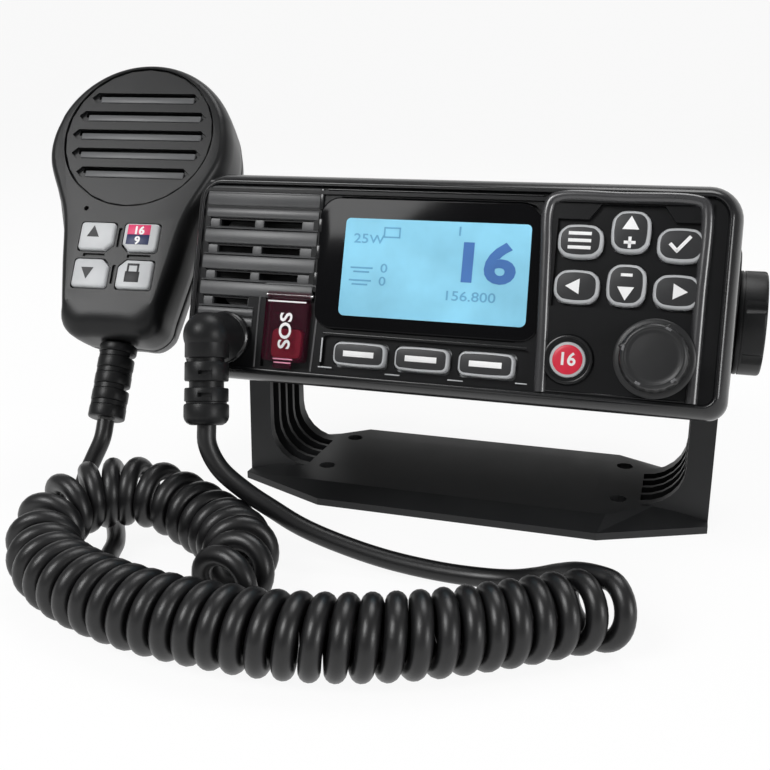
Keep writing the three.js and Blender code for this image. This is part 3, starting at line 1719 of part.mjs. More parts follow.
// Places along the coil's axis, a step of the wire apart, with the pitch kept inside each bend
function curlPlaces(path) {
  const total = path.getLength();
  const heading = (distance) => path.getTangentAt(THREE.MathUtils.clamp(distance / total, 0, 1));
  const bendShares = [-1, -1 / 2, 0, 1 / 2, 1];
  const places = [];
  let distance = 0;
  while (distance < total) {
    places.push(distance / total);
    const bend = Math.max(...bendShares.map((share) => bendAt(heading, distance + share * curlPitch)));
    const pitch = curlPitch / (1 - bend * curlMeanRadius);
    const share = crossingShare(path.getPointAt(distance / total));
    distance += THREE.MathUtils.lerp(pitch, crossingPitch, share) / curlSteps;
  }
  return places;
}

// Centres of the curled wire: a helix that starts at its lowest point and ends at its highest
function curlCentres() {
  const path = along(curlRoute);
  const places = curlPlaces(path);
  const up = new THREE.Vector3(0, 0, 1);
  const turns = Math.floor(places.length / curlSteps + 1 / 2) - 1 / 2;
  return places.map((place, i) => {
    const angle = Math.PI + 2 * Math.PI * turns * i / (places.length - 1);
    const tangent = path.getTangentAt(place);
    const side = new THREE.Vector3().crossVectors(tangent, up).normalize();
    const lift = new THREE.Vector3().crossVectors(side, tangent);
    const point = path.getPointAt(place);
    return point.clone()
      .addScaledVector(side, curlMeanRadius * Math.sin(angle))
      .addScaledVector(lift, curlMeanRadius * Math.cos(angle) + crossingLift * crossingShare(point));
  });
}

// One unbroken tube of five sides through the centres
function curlyCord(centres) {
  const frames = [];
  let side = new THREE.Vector3(0, 0, 1);
  centres.forEach((centre, i) => {
    const before = centres[Math.max(i - 1, 0)];
    const after = centres[Math.min(i + 1, centres.length - 1)];
    const tangent = new THREE.Vector3().subVectors(after, before).normalize();
    side = side.clone().addScaledVector(tangent, -side.dot(tangent)).normalize();
    frames.push({ centre, side, other: new THREE.Vector3().crossVectors(tangent, side) });
  });
  const positions = frames.flatMap(({ centre, side: first, other }) => {
    const ring = [];
    for (let corner = 0; corner < curlSides; corner += 1) {
      const angle = corner * 2 * Math.PI / curlSides;
      const point = centre.clone()
        .addScaledVector(first, curlWireDiameter / 2 * Math.cos(angle))
        .addScaledVector(other, curlWireDiameter / 2 * Math.sin(angle));
      ring.push(point.x, point.y, point.z);
    }
    return ring;
  });
  const index = [];
  const last = (frames.length - 1) * curlSides;
  for (let level = 0; level < frames.length - 1; level += 1) {
    for (let corner = 0; corner < curlSides; corner += 1) {
      const a = level * curlSides + corner;
      const b = level * curlSides + (corner + 1) % curlSides;
      index.push(a, b, b + curlSides, a, b + curlSides, a + curlSides);
    }
  }
  for (let corner = 1; corner < curlSides - 1; corner += 1) {
    index.push(0, corner + 1, corner, last, last + corner, last + corner + 1);
  }
  const geometry = new THREE.BufferGeometry();
  geometry.setAttribute('position', new THREE.Float32BufferAttribute(positions, 3));
  geometry.setIndex(index);
  return geometry;
}

// Least distance between the wire's surfaces on neighbouring curls
function leastCurlGap(centres) {
  let least = Infinity;
  const run = [0];
  for (let i = 1; i < centres.length; i += 1) {
    run.push(run[i - 1] + centres[i].distanceTo(centres[i - 1]));
  }
  centres.forEach((centre, i) => {
    for (let j = i + 1; j < centres.length - 1; j += 1) {
      if (run[j] - run[i] < curlMeanRadius * Math.PI) {
        continue;
      }
      const line = new THREE.Line3(centres[j], centres[j + 1]);
      const nearest = line.closestPointToPoint(centre, true, new THREE.Vector3());
      least = Math.min(least, nearest.distanceTo(centre) - curlWireDiameter);
    }
  });
  return least;
}

// The radio's own group, hung on the tilt axis and leaning back
const radio = new THREE.Group();
radio.position.set(0, 0, tiltAxisHeight);
radio.rotation.x = -THREE.MathUtils.degToRad(leanBackDegrees);
radio.add(
  named('front_bezel', frontBezel(), darkShell),
  named('front_seal', frontSeal(), blackRubber),
  named('chassis_shell', chassisShell(), castMetal),
  named('display_window', displayWindow(), glossBlack),
  named('lcd_module', lcdModule(), blueGlass),
  named('front_board', frontBoard(), boardGreen),
  named('main_board', mainBoard(), boardGreen),
  named('shield_can', shieldCan(), steel),
  named('speaker_driver', speakerDriver(), castMetal),
  named('encoder_body', encoderBody(), steel),
  named('encoder_shaft', rod(
    shaftRadius,
    -shaftFrontStation,
    -shaftBackStation,
    knobPlace,
    -knobDrop,
    smallRoundSteps,
  ), steel),
  named('control_knob', controlKnob(), glossBlack),
  named('channel_key', channelKey(), redKey),
  named('distress_key', distressKey(), redKey),
  named('distress_cover', distressCover(), redCover),
  named('distress_cover_pin', distressCoverPin(), steel),
  named('mic_socket', micSocket(), glossBlack),
  named('plug_boot', plugBoot(), blackRubber),
  named('left_washer', frictionWasher(-1), blackRubber),
  named('right_washer', frictionWasher(1), blackRubber),
);
for (const key of keypadKeys()) {
  radio.add(named(key.name, keypadKey(key), greyKey));
}
for (const key of softKeys()) {
  radio.add(named(key.name, softKey(key), greyKey));
}
screwPlaces().forEach((place, i) => {
  radio.add(named(`bezel_screw_${i + 1}`, bezelScrew(place), steel));
});
for (const socket of rearSockets) {
  radio.add(named(socket.name, rearSocket(socket), socket.name === 'power_gland' ? blackRubber : brass));
}

// The handset's own group
const handset = new THREE.Group();
const handsetSide = padOuter + gap + sideKnobThickness + handsetSpacing;
handset.position.set(-handsetSide, -handsetForward, handsetHeight);
handset.rotation.set(
  -THREE.MathUtils.degToRad(handsetTiltDegrees),
  THREE.MathUtils.degToRad(handsetRollDegrees),
  THREE.MathUtils.degToRad(handsetYawDegrees),
  'ZXY',
);
handset.add(
  named('handset_front_shell', handsetFrontShell(), satinPlastic),
  named('handset_back_shell', handsetBackShell(), satinPlastic),
  named('handset_grille', grilleDisc(), satinPlastic),
  named('talk_lever', talkLever(), blackRubber),
  named('hang_button', hangButton(), satinPlastic),
  named('mic_capsule', micCapsule(), steel),
  named('handset_speaker', handsetSpeaker(), castMetal),
  named('handset_board', handsetBoard(), boardGreen),
  named('strain_relief', strainRelief(), blackRubber),
);
for (const place of handsetKeyPlaces()) {
  handset.add(named(place.name, handsetKey(place), greyKey));
}

// The whole set
const centres = curlCentres();
console.log(`least gap between curls: ${leastCurlGap(centres).toFixed(2)} mm`);
const marineRadio = new THREE.Group();
marineRadio.add(
  named('bracket', bracket(), satinPlastic),
  named('left_bracket_knob', sideKnob(-1), satinPlastic),
  named('right_bracket_knob', sideKnob(1), satinPlastic),
  radio,
  handset,
  named('radio_lead', lead(radioLeadRoute), blackRubber),
  named('curly_cord', curlyCord(centres), blackRubber),
  named('handset_lead', lead(handsetLeadRoute), blackRubber),
);

export default marineRadio;
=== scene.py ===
import json
import math

import bmesh
import bpy
from mathutils import Matrix, Vector

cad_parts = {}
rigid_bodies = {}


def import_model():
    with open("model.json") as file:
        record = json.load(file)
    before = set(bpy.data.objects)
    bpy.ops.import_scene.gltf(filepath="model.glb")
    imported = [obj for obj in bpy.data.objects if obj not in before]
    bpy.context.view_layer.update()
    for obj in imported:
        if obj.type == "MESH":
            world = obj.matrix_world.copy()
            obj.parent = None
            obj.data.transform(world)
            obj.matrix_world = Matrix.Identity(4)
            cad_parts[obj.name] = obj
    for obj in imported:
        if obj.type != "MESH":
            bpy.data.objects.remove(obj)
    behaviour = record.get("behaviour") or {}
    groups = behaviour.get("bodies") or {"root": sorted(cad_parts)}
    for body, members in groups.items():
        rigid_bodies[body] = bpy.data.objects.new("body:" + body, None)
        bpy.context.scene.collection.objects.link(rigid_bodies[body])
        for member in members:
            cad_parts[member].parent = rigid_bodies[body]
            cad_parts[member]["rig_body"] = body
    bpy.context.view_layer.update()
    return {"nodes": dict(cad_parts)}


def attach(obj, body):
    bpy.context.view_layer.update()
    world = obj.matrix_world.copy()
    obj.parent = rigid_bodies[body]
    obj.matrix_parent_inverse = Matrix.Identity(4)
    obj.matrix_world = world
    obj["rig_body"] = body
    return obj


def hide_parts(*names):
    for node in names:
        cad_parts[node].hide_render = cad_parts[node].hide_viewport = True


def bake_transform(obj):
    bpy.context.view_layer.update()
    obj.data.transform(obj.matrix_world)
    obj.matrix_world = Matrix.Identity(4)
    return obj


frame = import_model()
nodes = frame["nodes"]
bpy.ops.object.select_all(action="DESELECT")

# Camera: low and a little to the radio's right, level with the top of the
# panel, where the photograph was taken from.
bpy.ops.object.camera_add(
    location=(0.069194, -0.332, 0.137231),
    rotation=(math.radians(73.548), 0, math.radians(17.385)),
)
camera = bpy.context.object
camera.name = "photo_camera"
camera.data.lens = 45.71
camera.data.sensor_width = 36
camera.data.clip_start = 0.01
bpy.context.scene.camera = camera
bpy.context.scene.view_settings.view_transform = "Standard"


# Curly cord: one length of rubber-jacketed cable, wound hot on a rod so that
# it keeps its curls. It lies in an open loop and passes over the handset's lead.
def smooth_run(stops, step):
    """Points a step apart on the smooth line through the stops, and its length."""
    line = [Vector(stop) for stop in stops]
    ends = [2 * line[0] - line[1]] + line + [2 * line[-1] - line[-2]]
    dense = []
    for p0, p1, p2, p3 in zip(ends, ends[1:], ends[2:], ends[3:]):
        d0, d1, d2 = [max((b - a).length ** 0.5, 1e-4) for a, b in ((p0, p1), (p1, p2), (p2, p3))]
        t1 = ((p1 - p0) / d0 - (p2 - p0) / (d0 + d1) + (p2 - p1) / d1) * d1
        t2 = ((p2 - p1) / d1 - (p3 - p1) / (d1 + d2) + (p3 - p2) / d2) * d1
        for k in range(60):
            t = k / 60
            dense.append(
                p1 + t1 * t
                + (-3 * p1 + 3 * p2 - 2 * t1 - t2) * t ** 2
                + (2 * p1 - 2 * p2 + t1 + t2) * t ** 3
            )
    dense.append(line[-1])
    run = [0.0]
    for a, b in zip(dense, dense[1:]):
        run.append(run[-1] + (b - a).length)
    count = max(2, round(run[-1] / step))
    even, place = [], 0
    for k in range(count + 1):
        want = run[-1] * k / count
        while place < len(run) - 2 and run[place + 1] < want:
            place += 1
        share = (want - run[place]) / (run[place + 1] - run[place])
        even.append(dense[place].lerp(dense[place + 1], share))
    return even, run[-1]


def ramp(value):
    value = min(max(value, 0), 1)
    return value * value * (3 - 2 * value)


def moulded(name, colour, gloss, grain, depth, level=0.4):
    """A moulded finish: fine grain, cloudy gloss, and a tone a little paler and darker in soft random
    patches.
    """
    made = bpy.data.materials.new(name)
    made.use_nodes = True
    tree = made.node_tree
    shader = tree.nodes["Principled BSDF"]
    shader.inputs["Specular IOR Level"].default_value = level
    place = tree.nodes.new("ShaderNodeTexCoord")
    cloud = tree.nodes.new("ShaderNodeTexNoise")
    cloud.inputs["Scale"].default_value = 40
    cloud.inputs["Detail"].default_value = 4
    fine = tree.nodes.new("ShaderNodeTexNoise")
    fine.inputs["Scale"].default_value = grain
    fine.inputs["Detail"].default_value = 3
    tint = tree.nodes.new("ShaderNodeValToRGB")
    tint.color_ramp.elements[0].position = 0.3
    tint.color_ramp.elements[0].color = (*[0.85 * part for part in colour], 1)
    tint.color_ramp.elements[1].position = 0.75
    tint.color_ramp.elements[1].color = (*[1.2 * part for part in colour], 1)
    sheen = tree.nodes.new("ShaderNodeMapRange")
    sheen.inputs["To Min"].default_value = gloss - 0.05
    sheen.inputs["To Max"].default_value = gloss + 0.06
    bump = tree.nodes.new("ShaderNodeBump")
    bump.inputs["Strength"].default_value = 0.3
    bump.inputs["Distance"].default_value = depth
    for start, out, end, into in (
        (place, "Object", cloud, "Vector"), (place, "Object", fine, "Vector"),
        (cloud, "Fac", tint, "Fac"), (cloud, "Fac", sheen, "Value"),
        (fine, "Fac", bump, "Height"), (tint, "Color", shader, "Base Color"),
        (sheen, "Result", shader, "Roughness"), (bump, "Normal", shader, "Normal"),
    ):
        tree.links.new(start.outputs[out], end.inputs[into])
    return made


cord_rubber = moulded("cord_rubber", (0.006, 0.006, 0.0065), 0.36, 1600, 0.00008, 0.5)
curl_radius, curl_height, curl_wire = 0.0081, 0.011, 0.0057
curl_pitch, open_pitch, turn_steps = 0.0055, 0.0068, 32
lead_crossing = (-0.0992, -0.0831)
curl_route = [(x, y, curl_height) for x, y in (
    (0.0572, -0.1008), (0.0528, -0.1026), (0.0453, -0.1071), (0.036, -0.1138),
    (0.0255, -0.1206), (0.015, -0.1266), (0.004, -0.1315), (-0.007, -0.135),
    (-0.0185, -0.1373), (-0.029, -0.1382), (-0.04, -0.1382), (-0.051, -0.1376),
    (-0.061, -0.1362), (-0.0715, -0.1336), (-0.082, -0.1298), (-0.092, -0.1244),
    (-0.1, -0.1174), (-0.1056, -0.109), (-0.1074, -0.0996), (-0.1052, -0.0908),
    (-0.0996, -0.0842), (-0.092, -0.0804), (-0.0835, -0.0794), (-0.0748, -0.0806),
    (-0.0664, -0.0834), (-0.0586, -0.0878), (-0.0518, -0.0936), (-0.0464, -0.1004),
    (-0.0434, -0.1074), (-0.0432, -0.114), (-0.0437, -0.1208),
)]
axis_line, axis_length = smooth_run(curl_route, 0.0001)


def on_axis(distance):
    spot = min(max(distance / axis_length, 0), 1) * (len(axis_line) - 1)
    low = min(int(spot), len(axis_line) - 2)
    return axis_line[low].lerp(axis_line[low + 1], spot - low)


def heading(distance, near=0.0001):
    distance = min(max(distance, 2 * near), axis_length - 2 * near)
    return (on_axis(distance + near) - on_axis(distance - near)).normalized()


def over_lead(point, reach):
    """How much the curls open or rise at a point, to pass over the handset's lead."""
    return ramp(1.15 - (Vector((*lead_crossing, point.z)) - point).length / reach)


open_reach, rise_reach, rise_height = 0.016, 0.034, 0.0061
first_turns, first_yaw = 0.02, 0.5
places, distance = [], 0.0
while distance < axis_length:
    places.append(distance)
    bend = max(
        heading(distance + (share - 0.5) * curl_pitch).angle(
            heading(distance + (share + 0.5) * curl_pitch)
        ) / curl_pitch
        for share in (-1, -0.5, 0, 0.5, 1)
    )
    pitch = curl_pitch / (1 - bend * curl_radius)
    distance += (pitch + (open_pitch - pitch) * over_lead(on_axis(distance), open_reach)) / turn_steps
turns = math.floor(len(places) / turn_steps + 0.5) - 0.5
curl_path = []
for count, distance in enumerate(places):
    turned = 2 * math.pi * turns * count / (len(places) - 1)
    point, ahead = on_axis(distance), heading(distance)
    ahead.rotate(Matrix.Rotation(first_yaw * max(0, 1 - distance / first_turns) ** 1.2, 3, "Z"))
    side = Vector((0, 0, 1)).cross(ahead).normalized()
    rise = curl_radius * math.cos(turned) + rise_height * over_lead(point, rise_reach)
    curl_path.append(point + side * curl_radius * math.sin(turned) + Vector((0, 0, rise)))


def cable(name, path, thickness, ending, material):
    """A round cable through the points, closed, that ends at another thickness."""
    line = bpy.data.curves.new(name, "CURVE")
    line.dimensions = "3D"
    line.bevel_depth = thickness / 2
    line.bevel_resolution = 6
    line.use_fill_caps = True
    run = line.splines.new("POLY")
    run.points.add(len(path) - 1)
    for count, (spot, point) in enumerate(zip(run.points, path)):
        spot.co = (*point, 1)
        spot.radius = 1 + (ending / thickness - 1) * ramp(1 - (len(path) - 1 - count) / 12)
    laid = bpy.data.objects.new(name, line)
    bpy.context.scene.collection.objects.link(laid)
    bpy.ops.object.select_all(action="DESELECT")
    laid.select_set(True)
    bpy.context.view_layer.objects.active = laid
    bpy.ops.object.convert(target="MESH")
    laid = bpy.context.object
    laid.data.materials.clear()
    laid.data.materials.append(material)
    bpy.ops.object.shade_smooth()
    return laid


curls = cable("curly_cord_wire", curl_path, curl_wire, curl_wire, cord_rubber)
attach(curls, "base")
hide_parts("curly_cord")

# Radio's lead: the plain end of the same cable, from the plug's boot down to
# the shelf and along behind the curls, where it runs into the first of them.
lead_thickness, lead_step = 0.0058, 0.0012
radio_route = [
    (-0.0657, -0.0808, 0.0468), (-0.0652, -0.0822, 0.0424), (-0.0644, -0.0839, 0.037),
    (-0.0606, -0.0843, 0.03),
    (-0.0532, -0.0826, 0.0228), (-0.0447, -0.081, 0.017), (-0.0367, -0.0802, 0.0125),
    (-0.026, -0.0795, 0.0086), (-0.01, -0.079, 0.0049), (0.0065, -0.0786, 0.0031),
    (0.019, -0.0788, 0.0032), (0.0285, -0.0804, 0.0048), (0.036, -0.0838, 0.0083),
    (0.0424, -0.0887, 0.0128), (0.0487, -0.0945, 0.017), (0.0542, -0.099, 0.0189),
    tuple(curl_path[0]), tuple(curl_path[1]),
]
radio_line, radio_length = smooth_run(radio_route, lead_step)
radio_wire = cable("radio_lead_wire", radio_line, lead_thickness, curl_wire, cord_rubber)
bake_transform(radio_wire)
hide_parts("radio_lead")

# Handset's lead: the other plain end, from the strain relief down to the
# shelf and round under the curls, to where the last of them ends.
handset_route = [
    (-0.11786, -0.05603, 0.03027), (-0.1177, -0.0592, 0.0248), (-0.1199, -0.062, 0.0183),
    (-0.1222, -0.0642, 0.0122), (-0.1226, -0.0665, 0.007), (-0.119, -0.0686, 0.0039),
    (-0.1124, -0.0713, 0.003), (-0.1052, -0.0756, 0.003), (-0.0992, -0.0831, 0.003),
    (-0.0948, -0.0906, 0.003), (-0.0917, -0.0989, 0.003), (-0.0869, -0.1071, 0.003),
    (-0.0805, -0.1137, 0.003), (-0.0735, -0.1166, 0.003), (-0.066, -0.1176, 0.003),
    (-0.0595, -0.1188, 0.003), (-0.0525, -0.1201, 0.0029), tuple(curl_path[-1]),
]
handset_line, handset_length = smooth_run(handset_route, lead_step)
handset_wire = cable("handset_lead_wire", handset_line, lead_thickness, curl_wire, cord_rubber)
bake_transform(handset_wire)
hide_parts("handset_lead")

# Bracket: the moulded U that the radio hangs in, with a stepped foot, screw
# holes, deep ribs at the foot of each arm and a round head round each knob.
def eased(name, width, material, sharp=35):
    """A copy of a CAD node with its doubles merged and its edges softly rounded."""
    piece = bpy.data.objects.new(name + "_form", nodes[name].data.copy())
    bpy.context.scene.collection.objects.link(piece)
    bpy.ops.object.select_all(action="DESELECT")
    piece.select_set(True)
    bpy.context.view_layer.objects.active = piece
    bpy.ops.mesh.customdata_custom_splitnormals_clear()
    bpy.ops.object.mode_set(mode="EDIT")
    bpy.ops.mesh.select_all(action="SELECT")
    bpy.ops.mesh.remove_doubles(threshold=0.000005)
    bpy.ops.mesh.dissolve_limited(angle_limit=math.radians(0.6))
    bpy.ops.object.mode_set(mode="OBJECT")
    if width:
        round_edges = piece.modifiers.new("round_edges", "BEVEL")
        round_edges.width = width
        round_edges.segments = 3
        round_edges.limit_method = "ANGLE"
        round_edges.angle_limit = math.radians(sharp)
        round_edges.use_clamp_overlap = True
        bpy.ops.object.modifier_apply(modifier=round_edges.name)
    bpy.ops.object.shade_smooth_by_angle(angle=math.radians(sharp))
    level_faces = piece.modifiers.new("level_faces", "WEIGHTED_NORMAL")
    level_faces.keep_sharp = True
    level_faces.weight = 100
    bpy.ops.object.modifier_apply(modifier=level_faces.name)
    piece.data.materials.clear()
    piece.data.materials.append(material)
    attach(piece, nodes[name]["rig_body"])
    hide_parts(name)
    return piece


bracket_black = moulded("bracket_black", (0.013, 0.0135, 0.0142), 0.45, 2600, 0.00008, 0.35)
eased("bracket", 0.0005, bracket_black, 18)


# Side knobs: two clamping knobs moulded over plated studs, one at each end of
# the tilt axis, with finger notches in their rims and rubber friction washers.
def lofted(name, rings, loop=False):
    """Rings of points, one after another, bridged into one closed skin."""
    size = len(rings[0])
    bpy.ops.object.select_all(action="DESELECT")
    bpy.ops.mesh.primitive_circle_add(vertices=size)
    piece = bpy.context.object
    piece.name = name
    bpy.ops.object.mode_set(mode="EDIT")
    for _ in rings[1:]:
        bpy.ops.mesh.select_all(action="DESELECT")
        bpy.ops.mesh.primitive_circle_add(vertices=size)
    form = bmesh.from_edit_mesh(piece.data)
    form.verts.ensure_lookup_table()
    for spot, point in zip(form.verts, [point for ring in rings for point in ring]):
        spot.co = point
    pairs = list(zip(range(len(rings)), range(1, len(rings)))) + [(len(rings) - 1, 0)] * loop
    for low, high in pairs:
        bpy.ops.mesh.select_all(action="DESELECT")
        form = bmesh.from_edit_mesh(piece.data)
        form.verts.ensure_lookup_table()
        for place in (low, high):
            for spot in form.verts[place * size:(place + 1) * size]:
                spot.select = True
        form.select_flush_mode()
        for edge in form.edges:
            edge.select = len(edge.link_faces) < 2 and all(spot.select for spot in edge.verts) and (
                edge.verts[0].index // size == edge.verts[1].index // size
            )
        bmesh.update_edit_mesh(piece.data)
        bpy.ops.mesh.bridge_edge_loops()
    if not loop:
        for end in (0, len(rings) - 1):
            bpy.ops.mesh.select_all(action="DESELECT")
            form = bmesh.from_edit_mesh(piece.data)
            form.verts.ensure_lookup_table()
            for spot in form.verts[end * size:(end + 1) * size]:
                spot.select = True
            form.select_flush_mode()
            bmesh.update_edit_mesh(piece.data)
            bpy.ops.mesh.edge_face_add()
    bpy.ops.mesh.select_all(action="SELECT")
    bpy.ops.mesh.normals_make_consistent(inside=False)
    bpy.ops.object.mode_set(mode="OBJECT")
    return piece


def settle(piece, stand, material, body, replaced=None, sharp=35):
    """Puts a finished piece in its place, with its material and body, and hides the node it replaces."""
    bpy.ops.object.select_all(action="DESELECT")
    piece.select_set(True)
    bpy.context.view_layer.objects.active = piece
    bpy.ops.object.transform_apply(location=True, rotation=True, scale=True)
    piece.data.transform(stand)
    bpy.ops.object.shade_smooth_by_angle(angle=math.radians(sharp))
    piece.data.materials.clear()
    piece.data.materials.append(material)
    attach(piece, body)
    if replaced:
        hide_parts(replaced)
    return piece


def notched(radius, count, reach, round_radius, spokes=192):
    """Points round a circle with round notches cut into its rim."""
    points = []
    for spoke in range(spokes):
        angle = 2 * math.pi * spoke / spokes
        away = (angle - math.pi / count) % (2 * math.pi / count)
        away = min(away, 2 * math.pi / count - away)
        off, along = reach * math.sin(away), reach * math.cos(away)
        near = radius
        if off < round_radius:
            near = min(radius, along - math.sqrt(round_radius ** 2 - off ** 2))
        points.append((near * math.cos(angle), near * math.sin(angle)))
    return points


mm = Matrix.Scale(0.001, 4)
tilt_axis = Matrix.Translation((0, 0, 0.0664))
knob_black = moulded("knob_black", (0.009, 0.0094, 0.01), 0.4, 2600, 0.00008, 0.25)
for side, name in ((1, "right"), (-1, "left")):
    rings = []
    for across, radius, notches in (
        (63.6, 2.9, 0), (63.6, 3, 0), (85, 3, 0), (85, 16.3, 0), (85.2, 16.7, 0), (85.6, 16.9, 0),
        (86.3, 16.9, 0), (86.35, 16.55, 0), (86.75, 16.55, 0), (86.8, 16.9, 0), (87.3, 16.9, 0),
        (87.45, 16.9, 1), (92.8, 16.9, 1), (93.3, 16.7, 1), (93.6, 16.3, 1), (93.7, 15.8, 1),
        (93.7, 14.6, 1), (93.4, 14.2, 0), (93.3, 13.6, 0), (93.3, 3, 0),
    ):
        rim = notched(radius, 6, 18.2, 2.4 * notches)
        rings.append([(side * across, depth, level) for depth, level in rim])
    settle(
        lofted(name + "_clamp_knob", rings), tilt_axis @ mm, knob_black,
        name + "_knob", name + "_bracket_knob",
    )
    eased(name + "_washer", 0, cord_rubber)

# Chassis: the die-cast box behind the front, powder coated, with its cooling
# fins, and the sockets, gland, boards and speaker that are fixed to it.
cast_black = moulded("cast_black", (0.012, 0.0125, 0.0135), 0.5, 1400, 0.0002, 0.35)
steel = moulded("steel", (0.5, 0.5, 0.5), 0.3, 1500, 0.00002)
brass = moulded("brass", (0.55, 0.4, 0.15), 0.3, 1500, 0.00002)
for metal in (steel, brass):
    metal.node_tree.nodes["Principled BSDF"].inputs["Metallic"].default_value = 1
board_green = moulded("board_green", (0.03, 0.16, 0.07), 0.4, 900, 0.00005)
for name in ("chassis_shell", "speaker_driver", "handset_speaker"):
    eased(name, 0.0003, cast_black)
for name in (
    "shield_can", "encoder_body", "encoder_shaft", "distress_cover_pin", "mic_capsule",
    "bezel_screw_1", "bezel_screw_2", "bezel_screw_3", "bezel_screw_4",
):
    eased(name, 0.0001, steel)
for name in ("antenna_socket", "gps_socket", "network_socket"):
    eased(name, 0.0002, brass)
for name in ("front_board", "main_board", "handset_board"):
    eased(name, 0.0001, board_green)
for name in ("front_seal", "power_gland"):
    eased(name, 0.0002, cord_rubber)

# Front bezel: the moulded front, screwed to the chassis from behind. Its rim
# swells to a ridge that runs all round the panel, with a channel inside it.
lean = tilt_axis @ Matrix.Rotation(math.radians(-18.06), 4, "X") @ mm
bezel_black = moulded("bezel_black", (0.005, 0.0052, 0.0058), 0.34, 3000, 0.00004, 0.2)
rim_black = moulded("rim_black", (0.005, 0.0052, 0.0058), 0.22, 2200, 0.00002, 0.5)
eased("front_bezel", 0.0002, bezel_black)


def rounded(width, height, top, bottom, centre=(0, 0), bulge=0, steps=9, along=8):
    """Points round a rectangle with rounded corners and gently bulging sides."""
    corners = []
    for side, level, radius, start in (
        (1, 1, top, 0), (-1, 1, top, 90), (-1, -1, bottom, 180), (1, -1, bottom, 270),
    ):
        radius = max(radius, 0.05)
        corners.append([
            (
                side * (width / 2 - radius) + radius * math.cos(math.radians(start + 90 * step / steps)),
                level * (height / 2 - radius) + radius * math.sin(math.radians(start + 90 * step / steps)),
            )
            for step in range(steps + 1)
        ])
    points = []
    for corner, following in zip(corners, corners[1:] + corners[:1]):
        points += corner
        (x0, z0), (x1, z1) = corner[-1], following[0]
        points += [
            (x0 + (x1 - x0) * part / along, z0 + (z1 - z0) * part / along) for part in range(1, along)
        ]
    swollen = []
    for x, z in points:
        across, up = 2 * x / width, 2 * z / height
        swollen.append((
            centre[0] + x + bulge * across * abs(across) * (1 - up * up),
            centre[1] + z + bulge * up * abs(up) * (1 - across * across),
        ))
    return swollen


rings = []
for station, inset in (
    (38, 1.9), (44, 1), (50, 0.2), (52.8, -0.1), (54.6, 0), (56.2, 0.35), (57.6, 0.95), (58.8, 1.75),
    (59.6, 2.4), (60.05, 2.95), (60.15, 3.35), (59.95, 3.7), (59.4, 4), (58.55, 4.2), (57.6, 4.2),
    (57.2, 3.4), (54, 1.6), (50, 1.5), (38.3, 2.7),
):
    rings.append([
        (x, -station, z)
        for x, z in rounded(165 - 2 * inset, 64.8 - 2 * inset, 9.5 - inset, 5.5 - inset / 2, (0, -1))
    ])
settle(lofted("front_rim", rings, loop=True), lean, rim_black, "radio", sharp=60)
# The panel ridge is the bezel's black plastic, made paler and glossier: a painted highlight along it.
ridge_painted_highlight = moulded("ridge_painted_highlight", (0.028, 0.028, 0.03), 0.24, 2200, 0.00002, 0.9)


def beading(name, stops, thickness, material, body="radio", stand=lean):
    """A half-sunk round moulding along a line on the panel."""
    line, _ = smooth_run([stand @ Vector(stop) for stop in stops], 0.0006)
    bead = cable(name, line, thickness / 1000, thickness / 1000, material)
    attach(bead, body)
    return bead


beading("panel_ridge", [
    (31.6, -58.9, -29.4), (31.3, -58.9, -20), (29.9, -58.9, 10), (29.4, -58.9, 22.5), (30.4, -58.9, 25.4),
    (33, -58.9, 26.6), (50, -58.9, 26.7), (69.4, -58.9, 26.5), (71.9, -58.9, 25.5), (72.8, -58.9, 22.8),
    (72.8, -58.9, 0), (72.8, -58.9, -29.2),
], 3.6, ridge_painted_highlight)
beading("top_line", [(-37.6, -59.1, 26.5), (0, -59.1, 26.5), (28, -59.1, 26.5)], 0.8, rim_black)
beading("bottom_line", [(33, -59, -28.9), (50, -59, -28.9), (71, -59, -28.9)], 0.8, rim_black)
beading("display_line", [(-35.2, -59, -17.2), (0, -59, -17.2), (27, -59, -17.2)], 0.7, rim_black)

# Louvres: slats over the loudspeaker's openings at the left of the panel, with
# a sloping ledge under each slot and short tabs that tie the slats together.
# The slats, ledges, tabs and thin lines are the bezel's black plastic in a paler grey: painted light where
# they catch the lamps.
slat_grey = moulded("slat_grey", (0.06, 0.061, 0.063), 0.4, 2400, 0.00004, 0.6)


def rail(name, left, right, section, material):
    """A straight length of one section, closed at both ends."""
    rings = [
        [(x, -station, z) for station, z in section] for x in (left, left + 0.3, right - 0.3, right)
    ]
    for end in (0, 3):
        middle = (sum(z for _, z in section) / len(section), sum(y for y, _ in section) / len(section))
        rings[end] = [
            (x, y + (-middle[1] - y) * 0.12, z + (middle[0] - z) * 0.06) for x, y, z in rings[end]
        ]
    return settle(lofted(name, rings), lean, material, "radio", sharp=30)


def slat_section(low, high):
    """From behind the foot, up the ledge and the face, over the top edge."""
    return [
        (58.3, low), (59.0, low), (59.45, low + 0.25), (59.7, low + 0.7), (59.75, (low + high) / 2),
        (59.65, high - 0.7), (59.4, high - 0.25), (58.9, high), (58.3, high),
    ]


def bar(
    name, centre, size, station, material, body, round_by=0.15, tall=0.12, stand=lean, turn=0,
):
    """A small raised bar on a face, with its edges eased."""
    bpy.ops.object.select_all(action="DESELECT")
    bpy.ops.mesh.primitive_cube_add(size=1, location=(0, 0, 0))
    form = bpy.context.object
    form.name = name
    form.scale = (size[0], tall, size[1])
    bpy.ops.object.transform_apply(location=True, rotation=True, scale=True)
    bpy.ops.object.mode_set(mode="EDIT")
    bpy.ops.mesh.select_all(action="SELECT")
    bpy.ops.mesh.bevel(offset=min(round_by, 0.45 * min(*size, tall)), segments=2)
    bpy.ops.object.mode_set(mode="OBJECT")
    form.data.transform(
        Matrix.Translation((centre[0], -station, centre[1])) @ Matrix.Rotation(math.radians(turn), 4, "Y")
    )
    return settle(form, stand, material, body)


